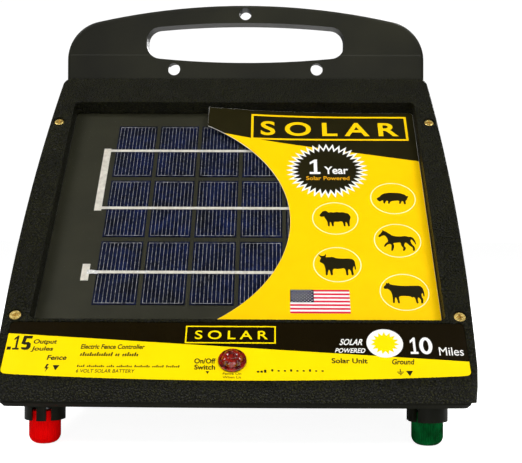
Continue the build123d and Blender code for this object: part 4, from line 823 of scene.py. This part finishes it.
edge_x = STRIP_HALF - PRINT_MARGIN
corner_v = strip_edge(edge_x) + STRIP_CORNER + PRINT_MARGIN
lower = [(-edge_x, strip_divide(-edge_x)), (-edge_x, corner_v)]
lower += arc(-edge_x + STRIP_CORNER, corner_v, STRIP_CORNER, 180, 268, CORNER_STEPS)[1:]
span = edge_x - STRIP_CORNER
for i in range(1, BOTTOM_STEPS):
    x = -span + 2 * span * i / BOTTOM_STEPS
    lower.append((x, strip_edge(x) + PRINT_MARGIN))
lower += arc(edge_x - STRIP_CORNER, corner_v, STRIP_CORNER, -88, 0, CORNER_STEPS)
lower += [(edge_x, strip_divide(edge_x))]
lamp_gap = circle(LAMP_X, LAMP_V, LENS_R + LENS_CLEARANCE, 64)
strip_print("strip_yellow", [[lower, lamp_gap]], INK, "lemon")

STRIP_FRAME = [box(-28.4, 22.0, -116.2, -103.6), box(-27.6, 21.2, -115.4, -104.4)]
strip_print("strip_heading_frame", [STRIP_FRAME], INK, "lemon")
heading = [("SOLAR", (-23.0, 17.6, -113.2, -107.0), 0.0)]
strip_words("strip_heading", heading, INK, "lemon", weight=0.01, tracking=1.5)

# the two large figures, drawn as plates
point = [box(-126.4, -124.2, -121.4, -119.2)]
output_one = [numeral_one(-123.4, -119.8, -121.4, -111.4)]
five = [
    (-118.8, -119.6), (-118.2, -121.0), (-116.6, -121.6), (-114.4, -121.2), (-113.4, -119.4),
    (-113.6, -117.0), (-115.0, -115.8), (-116.8, -116.0), (-116.4, -113.4), (-113.4, -113.4),
    (-113.2, -111.4), (-118.2, -111.4), (-118.9, -117.0), (-117.2, -117.9), (-116.0, -117.6),
    (-115.6, -118.8), (-116.2, -119.7), (-117.2, -119.6),
]
strip_print("strip_output", [point, output_one, [five]], INK_OVER, "black", INK)
range_one = [numeral_one(96.0, 100.2, -123.0, -111.4)]
zero = [oval(104.7, -117.2, 3.6, 6.0), oval(104.7, -117.2, 1.5, 4.0)]
strip_print("strip_range", [range_one, zero], INK, "white")

# each is (text, (left, right, bottom, top), lean)
BOLD_WORDS = [
    ("Output", (-112.6, -99.6, -118.0, -113.9), 0.15),
    ("Joules", (-113.0, -101.0, -122.9, -119.0), 0.15),
    ("Electric Fence Controller", (-85.6, -50.4, -120.6, -117.2), 0.1),
    ("Solar Unit", (52.4, 72.0, -129.8, -126.2), 0.0),
    ("Fence", (-103.2, -92.6, -128.4, -125.0), 0.15),
    ("Ground", (85.0, 97.0, -130.4, -126.6), 0.15),
    ("On/Off", (-22.4, -10.8, -130.4, -126.8), 0.0),
    ("Switch", (-22.2, -10.8, -134.6, -131.2), 0.0),
]
strip_words("strip_words_bold", BOLD_WORDS, INK_OVER, "black", INK, 0.028)
FINE_WORDS = [
    ("6 VOLT SOLAR BATTERY", (-86.2, -54.6, -137.0, -134.6), 0.12),
    ("Fence On", (-6.6, 3.4, -138.0, -136.4), 0.0),
    ("When Lit", (-6.6, 3.4, -140.4, -138.8), 0.0),
]
strip_words("strip_words_fine", FINE_WORDS, INK_OVER, "black", INK, 0.01)

# rows of words too small to read: left, right, bottom, top, the letters in each word, lean
UNREAD_ROWS = [
    (-85.4, -53.2, -125.6, -122.8, [14, 2, 7], 0.2),
    (-86.0, -30.0, -133.2, -131.6, [4, 9, 4, 8, 8, 6, 7], 0.1),
    (11.8, 17.6, -136.4, -134.4, [3], 0.0),
    (19.6, 48.4, -135.6, -134.0, [1] * 9, 0.0),
]
unread = [block for row in UNREAD_ROWS for block in greeked(*row)]
strip_print("strip_words_thin", unread, INK_OVER, "black", INK)

arrows = [
    [[(x - size, v + size), (x + size, v + size), (x, v - 0.9 * size)]]
    for x, v, size in ((-97.4, -133.9, 1.9), (-14.9, -136.6, 1.0), (94.2, -136.6, 1.9))
]
bolt = [
    (-102.6, -131.2), (-101.4, -131.2), (-102.3, -133.4), (-101.2, -133.4), (-102.9, -136.8),
    (-102.5, -134.2), (-103.6, -134.2),
]
earth = [
    [box(89.0, 89.5, -135.4, -133.4)],
    [box(87.4, 91.1, -135.8, -135.3)],
    [box(88.0, 90.5, -136.7, -136.2)],
    [box(88.7, 89.8, -137.6, -137.1)],
]
strip_print("legend_marks", [*arrows, [bolt], *earth], INK_OVER, "black", INK)

# the sun disc, and white words on the black part
SUN_X, SUN_V = 82.2, -115.6
SUN_LOW, RAYS_TOP = INK * 0.2, INK_OVER + 0.04
strip_print("sun_disc", [[circle(SUN_X, SUN_V, 10.1, RING_STEPS)]], INK_OVER, "white", SUN_LOW)
strip_print("sun_rays", [[star(SUN_X, SUN_V, 8.0, 5.5, 15)]], RAYS_TOP, "lemon", INK_OVER)
SUN_WORDS = [
    ("SOLAR", (57.0, 69.6, -117.0, -112.6), 0.3),
    ("POWERED", (54.4, 70.8, -122.4, -119.2), 0.25),
]
strip_words("strip_words_white", SUN_WORDS, INK, "white", weight=0.018)
strip_words("strip_word_miles", [("Miles", (111.6, 125.0, -124.0, -118.2), 0.0)], INK, "white")

# ---------------------------------------------------------------- silver lines and solder on the cells
CELL_WIDE, CELL_HIGH = 26.0, 52.0
COLUMNS, ROWS = 6, 3
PITCH_X, PITCH_V = 28.55, 56.0
GRID_X, GRID_V = -1.3, 2.0
CELL_TOP, RIBBON_TOP = -0.3, -0.1
FINGERS, FINGER_PITCH, FINGER_WIDE, FINGER_TALL = 11, 2.36, 0.2, 0.04
FINGER_INSET = 1.3
END_LINE_HALF, END_LINE_TALL = 0.12, 0.05
columns = [GRID_X + (i - (COLUMNS - 1) / 2) * PITCH_X for i in range(COLUMNS)]
rows = [GRID_V + (j - (ROWS - 1) / 2) * PITCH_V for j in range(ROWS)]
finger_places = [(k - (FINGERS - 1) / 2) * FINGER_PITCH for k in range(FINGERS)]


def add_cell_lines(mesh, x, v):
    """The silver fingers of the cell at (x, v), and the line that joins them at each end."""
    low_v, high_v = v - CELL_HIGH / 2 + FINGER_INSET, v + CELL_HIGH / 2 - FINGER_INSET
    for place in finger_places:
        at = x + place
        finger = box(at - FINGER_WIDE / 2, at + FINGER_WIDE / 2, low_v, high_v)
        add_plate(mesh, [finger], CELL_TOP, CELL_TOP + FINGER_TALL, on_face)
    half = finger_places[-1]
    for end in (low_v, high_v):
        end_line = box(x - half, x + half, end - END_LINE_HALF, end + END_LINE_HALF)
        add_plate(mesh, [end_line], CELL_TOP, CELL_TOP + END_LINE_TALL, on_face)


lines = bmesh.new()
for x in columns:
    for v in rows:
        add_cell_lines(lines, x, v)
silver = metal("finger_silver", (0.03, 0.03, 0.045), (0.66, 0.66, 0.66), scale=1300.0, metallic=0.2)
finished(lines, "cell_fingers", silver)

DAB_RADIUS, DAB_SIDES, DAB_INSET, DAB_TALL = 1.0, 14, 1.2, 0.04
DAB_FLAT = 0.72  # a dab's height for its width
DAB_WANDER, DAB_UNEVEN = 0.25, 0.2


def solder_dab(i, j, side):
    """An uneven blob where the ribbon leaves one side of the cell in column i and row j."""
    x = columns[i] + side * (CELL_WIDE / 2 - DAB_INSET)
    v = rows[j] + DAB_WANDER * math.sin(3.1 * i + 1.7 * j + side)
    outline = []
    for k in range(DAB_SIDES):
        angle = 2 * math.pi * k / DAB_SIDES
        wide = DAB_RADIUS * (1 + DAB_UNEVEN * math.sin(2 * angle + i))
        outline.append((x + wide * math.cos(angle), v + DAB_FLAT * DAB_RADIUS * math.sin(angle)))
    return outline


solder = bmesh.new()
for j in range(ROWS):
    for i in range(COLUMNS):
        for side in (-1, 1):
            add_plate(solder, [solder_dab(i, j, side)], RIBBON_TOP, RIBBON_TOP + DAB_TALL, on_face)
# the end tab's short tail, soldered to the lowest ribbon
TAIL_LOW, TAIL_TOP = RIBBON_TOP - 0.19, RIBBON_TOP + 0.06
tail = [(-91.6, -55.9), (-88.4, -55.3), (-85.2, -55.6), (-84.6, -53.4), (-87.6, -52.5), (-91.6, -52.2)]
add_plate(solder, [tail], TAIL_LOW, TAIL_TOP, on_face)
solder_metal = metal(
    "solder", (0.80, 0.79, 0.75), (0.95, 0.94, 0.90), (0.18, 0.34), scale=1100.0, metallic=0.3
)
finished(solder, "solder_dabs", solder_metal)

# ---------------------------------------------------------------- the indicator's cut lens
LENS_FACETS, LENS_SIDES = 8, 48


def on_lens(r, angle, h):
    """A point at radius r and angle about the lamp's own axis, h above the strip."""
    return on_label(LAMP_X + r * math.cos(angle), LAMP_V + r * math.sin(angle), h)


def lens_ring(mesh, r, h, cut):
    """One ring of the lens: round at cut 0, eight-sided at cut 1 and turned by half a side at cut 2."""
    ring = []
    side = 2 * math.pi / LENS_FACETS
    for k in range(LENS_SIDES):
        angle = 2 * math.pi * k / LENS_SIDES
        reach = r
        if cut:
            off = (angle + (cut - 1) * side / 2) % side - side / 2
            reach = r * math.cos(side / 2) / math.cos(off)
        ring.append(mesh.verts.new(on_lens(reach, angle, h)))
    return ring


def join_rings(mesh, ring, following):
    """Faces between two rings of as many points, or between a ring and a single point."""
    count = max(len(ring), len(following))
    for k in range(count):
        n = (k + 1) % count
        if len(ring) == 1:
            mesh.faces.new((ring[0], following[k], following[n]))
        elif len(following) == 1:
            mesh.faces.new((ring[k], ring[n], following[0]))
        else:
            mesh.faces.new((ring[k], ring[n], following[n], following[k]))


# radius, height and cut of each ring, from the foot over the flange and the dome to its middle
OUTSIDE = [
    (2.6, -9.0, 0), (4.0, -9.0, 0), (4.0, 0.0, 0), (7.7, 0.0, 0), (7.8, 0.15, 0), (7.8, 1.1, 0),
    (7.55, 1.4, 0), (6.75, 1.45, 0), (6.45, 0.8, 0), (6.1, 0.85, 0), (6.1, 2.0, 1), (5.5, 3.4, 2),
    (4.4, 4.3, 1), (3.4, 4.4, 2), (2.5, 4.0, 0), (2.1, 5.1, 0), (1.5, 5.2, 0), (1.2, 4.5, 0), (0.5, 4.4, 0),
]
# and of the bore for the light, from its closed end down towards the foot
BORE = [(0.5, 1.4, 0), (2.6, -0.2, 0)]
lens = bmesh.new()
rings = [lens_ring(lens, *ring) for ring in OUTSIDE]
bore = [lens_ring(lens, *ring) for ring in BORE]
for ring, following in [*zip(rings, rings[1:]), (bore[0], bore[1]), (bore[1], rings[0])]:
    join_rings(lens, ring, following)
lens.faces.new(rings[-1])
lens.faces.new(bore[0])
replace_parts(finished(lens, "lamp_jewel", materials["red_lens"]), "lamp_lens")

# ---------------------------------------------------------------- knurled terminal knobs
KNURLS, KNURL_STEPS = 40, 5
KNURL_SHARP = 1.5
INSERT_R, INSERT_DEEP, STUD_R, RELIEF = 4.6, 10.0, 3.15, 3.5
BORE_CLEARANCE = 0.02
SHOULDER = 1.8  # the rounded rim at the top ends this far down
ROUNDING = 5.0
SIDE_RINGS, ROUND_RINGS = 6, 8
DIMPLE = 0.35
KNURL_TOP, KNURL_BOTTOM = 0.3, 1.2  # the knurl's distance from the top and from the end
FADE_IN, FADE_OUT = 1.2, 2.0


def knob_rings(radius, tall, knurl_depth):
    """Radius, depth below the top and depth of knurl of each ring, from the bore over the rim to the end."""
    bore_r = INSERT_R + BORE_CLEARANCE
    bottom = INSERT_DEEP + RELIEF
    bare = [(0.0, bottom), (STUD_R, bottom), (STUD_R, INSERT_DEEP), (bore_r, INSERT_DEEP), (bore_r, 0.0)]
    bare += [(radius - 1.0, 0.0), (radius - 0.3, 0.3)]
    straight = tall - ROUNDING - SHOULDER
    side = [(radius, 0.9), (radius, SHOULDER)]
    side += [(radius, SHOULDER + i * straight / SIDE_RINGS) for i in range(1, SIDE_RINGS + 1)]
    for i in range(1, ROUND_RINGS + 1):
        angle = math.radians(90 * i / ROUND_RINGS)
        inwards, upwards = ROUNDING * (1 - math.cos(angle)), ROUNDING * (1 - math.sin(angle))
        side.append((radius - inwards, tall - upwards))
    side += [(2.6, tall), (2.2, tall - DIMPLE), (0.0, tall - DIMPLE)]
    rings = [(r, depth, 0.0) for r, depth in bare]
    for r, depth in side:
        shown = min(1.0, max(0.0, (depth - KNURL_TOP) / FADE_IN))
        shown *= min(1.0, max(0.0, (tall - KNURL_BOTTOM - depth) / FADE_OUT))
        rings.append((r, depth, knurl_depth * shown))
    return rings


def knurled_ring(mesh, centre, r, cut):
    """A ring with knurls cut into it, or its single middle point where its radius is nought."""
    if r == 0.0:
        return [mesh.verts.new(centre)]
    ring = []
    for k in range(KNURLS * KNURL_STEPS):
        angle = 2 * math.pi * k / (KNURLS * KNURL_STEPS)
        wave = (0.5 - 0.5 * math.cos(KNURLS * angle)) ** KNURL_SHARP
        reach = (r - cut * wave) * MM
        ring.append(mesh.verts.new(centre + Vector((math.cos(angle), math.sin(angle), 0)) * reach))
    return ring


def knob(name, node, body, material, knurl_depth):
    """A knob with a rounded end, straight knurls round its side and the insert's bore in its top."""
    low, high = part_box(node)
    middle = (low + high) / 2
    mesh = bmesh.new()
    previous = None
    for r, depth, cut in knob_rings((high.x - low.x) / 2 / MM, (high.z - low.z) / MM, knurl_depth):
        ring = knurled_ring(mesh, Vector((middle.x, middle.y, high.z - depth * MM)), r, cut)
        if previous:
            join_rings(mesh, previous, ring)
        previous = ring
    made = finished(mesh, name, material, body, smooth=True)
    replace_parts(made, node)


knob("fence_knob_knurled", "fence_knob", "fence_grip", materials["knob_red"], 0.28)
knob("ground_knob_knurled", "ground_knob", "ground_grip", materials["knob_green"], 0.8)

# ---------------------------------------------------------------- floor, backdrop and light
FLOOR_SIDES, FLOOR_RADIUS = 96, 30.0
FLOOR_GAP = 0.2
FLOOR_LIGHT, FLOOR_SEEN = 0.05, 0.93  # the floor's own glow on the object, and as the camera sees it
WHITE = (1, 1, 1, 1)

floor_material, floor_shader, floor_place = start("pale_floor", Roughness=0.9, Specular_IOR_Level=0.0)
floor_shader.inputs["Emission Color"].default_value = WHITE
floor_patches = noise(floor_material, floor_place, 3.0)
floor_tone = ramp(floor_material, floor_patches, (0.74, 0.74, 0.74), (0.76, 0.76, 0.76))
link(floor_material, floor_tone, floor_shader.inputs["Base Color"])
floor_seen = add_node(floor_material, "ShaderNodeLightPath").outputs["Is Camera Ray"]
floor_glow = scaled(floor_material, floor_seen, FLOOR_LIGHT, FLOOR_SEEN)
link(floor_material, floor_glow, floor_shader.inputs["Emission Strength"])
floor_mesh = bmesh.new()
bmesh.ops.create_circle(floor_mesh, cap_ends=True, radius=FLOOR_RADIUS, segments=FLOOR_SIDES)
floor_data = bpy.data.meshes.new("floor")
floor_mesh.to_mesh(floor_data)
floor_mesh.free()
floor_data.materials.append(floor_material)
floor = bpy.data.objects.new("floor", floor_data)
floor.location = (0, 0, cad_box[0].z - FLOOR_GAP * MM)
scene.collection.objects.link(floor)

# the camera sees a plain white backdrop, brighter than the sky that lights the object
BACKDROP_SEEN = 1.05
SKY_FADE = {"From Min": 0.1, "From Max": 0.8, "To Min": 0.13, "To Max": 0.07}  # dimmer overhead

world = bpy.data.worlds.new("studio")
scene.world = world
world.use_nodes = True
direction = add_node(world, "ShaderNodeTexCoord").outputs["Generated"]
upwards = add_node(world, "ShaderNodeSeparateXYZ", {"Vector": direction}).outputs["Z"]
sky_strength = add_node(world, "ShaderNodeMapRange", {"Value": upwards, **SKY_FADE}).outputs["Result"]
sky = world.node_tree.nodes["Background"]
sky.inputs["Color"].default_value = WHITE
link(world, sky_strength, sky.inputs["Strength"])
backdrop = add_node(world, "ShaderNodeBackground", {"Color": WHITE, "Strength": BACKDROP_SEEN})
world_seen = add_node(world, "ShaderNodeLightPath").outputs["Is Camera Ray"]
backgrounds = {0: world_seen, 1: sky.outputs["Background"], 2: backdrop.outputs["Background"]}
choice = add_node(world, "ShaderNodeMixShader", backgrounds)
link(world, choice.outputs["Shader"], world.node_tree.nodes["World Output"].inputs["Surface"])

# name, place from the object's middle in metres, width in metres, power in watts
LIGHTS = [
    ("left_box", (-0.92, -0.46, 1.10), 0.75, 12.0),
    ("right_box", (0.80, -0.56, 1.15), 0.75, 12.0),
    ("front_box", (0.0, -1.00, 1.00), 0.6, 4.0),
    ("low_box", (0.0, -1.10, 0.00), 0.6, 2.6),
    ("back_box", (0.3, 1.10, 0.60), 0.6, 14.0),
]
middle = (cad_box[0] + cad_box[1]) / 2
for name, offset, size, power in LIGHTS:
    light_data = bpy.data.lights.new(name, "AREA")
    light_data.size = size
    light_data.energy = power
    light = bpy.data.objects.new(name, light_data)
    light.location = middle + Vector(offset)
    light.rotation_euler = (middle - light.location).to_track_quat("-Z", "Y").to_euler()
    light.visible_camera = False
    scene.collection.objects.link(light)

scene.view_settings.view_transform = "Standard"
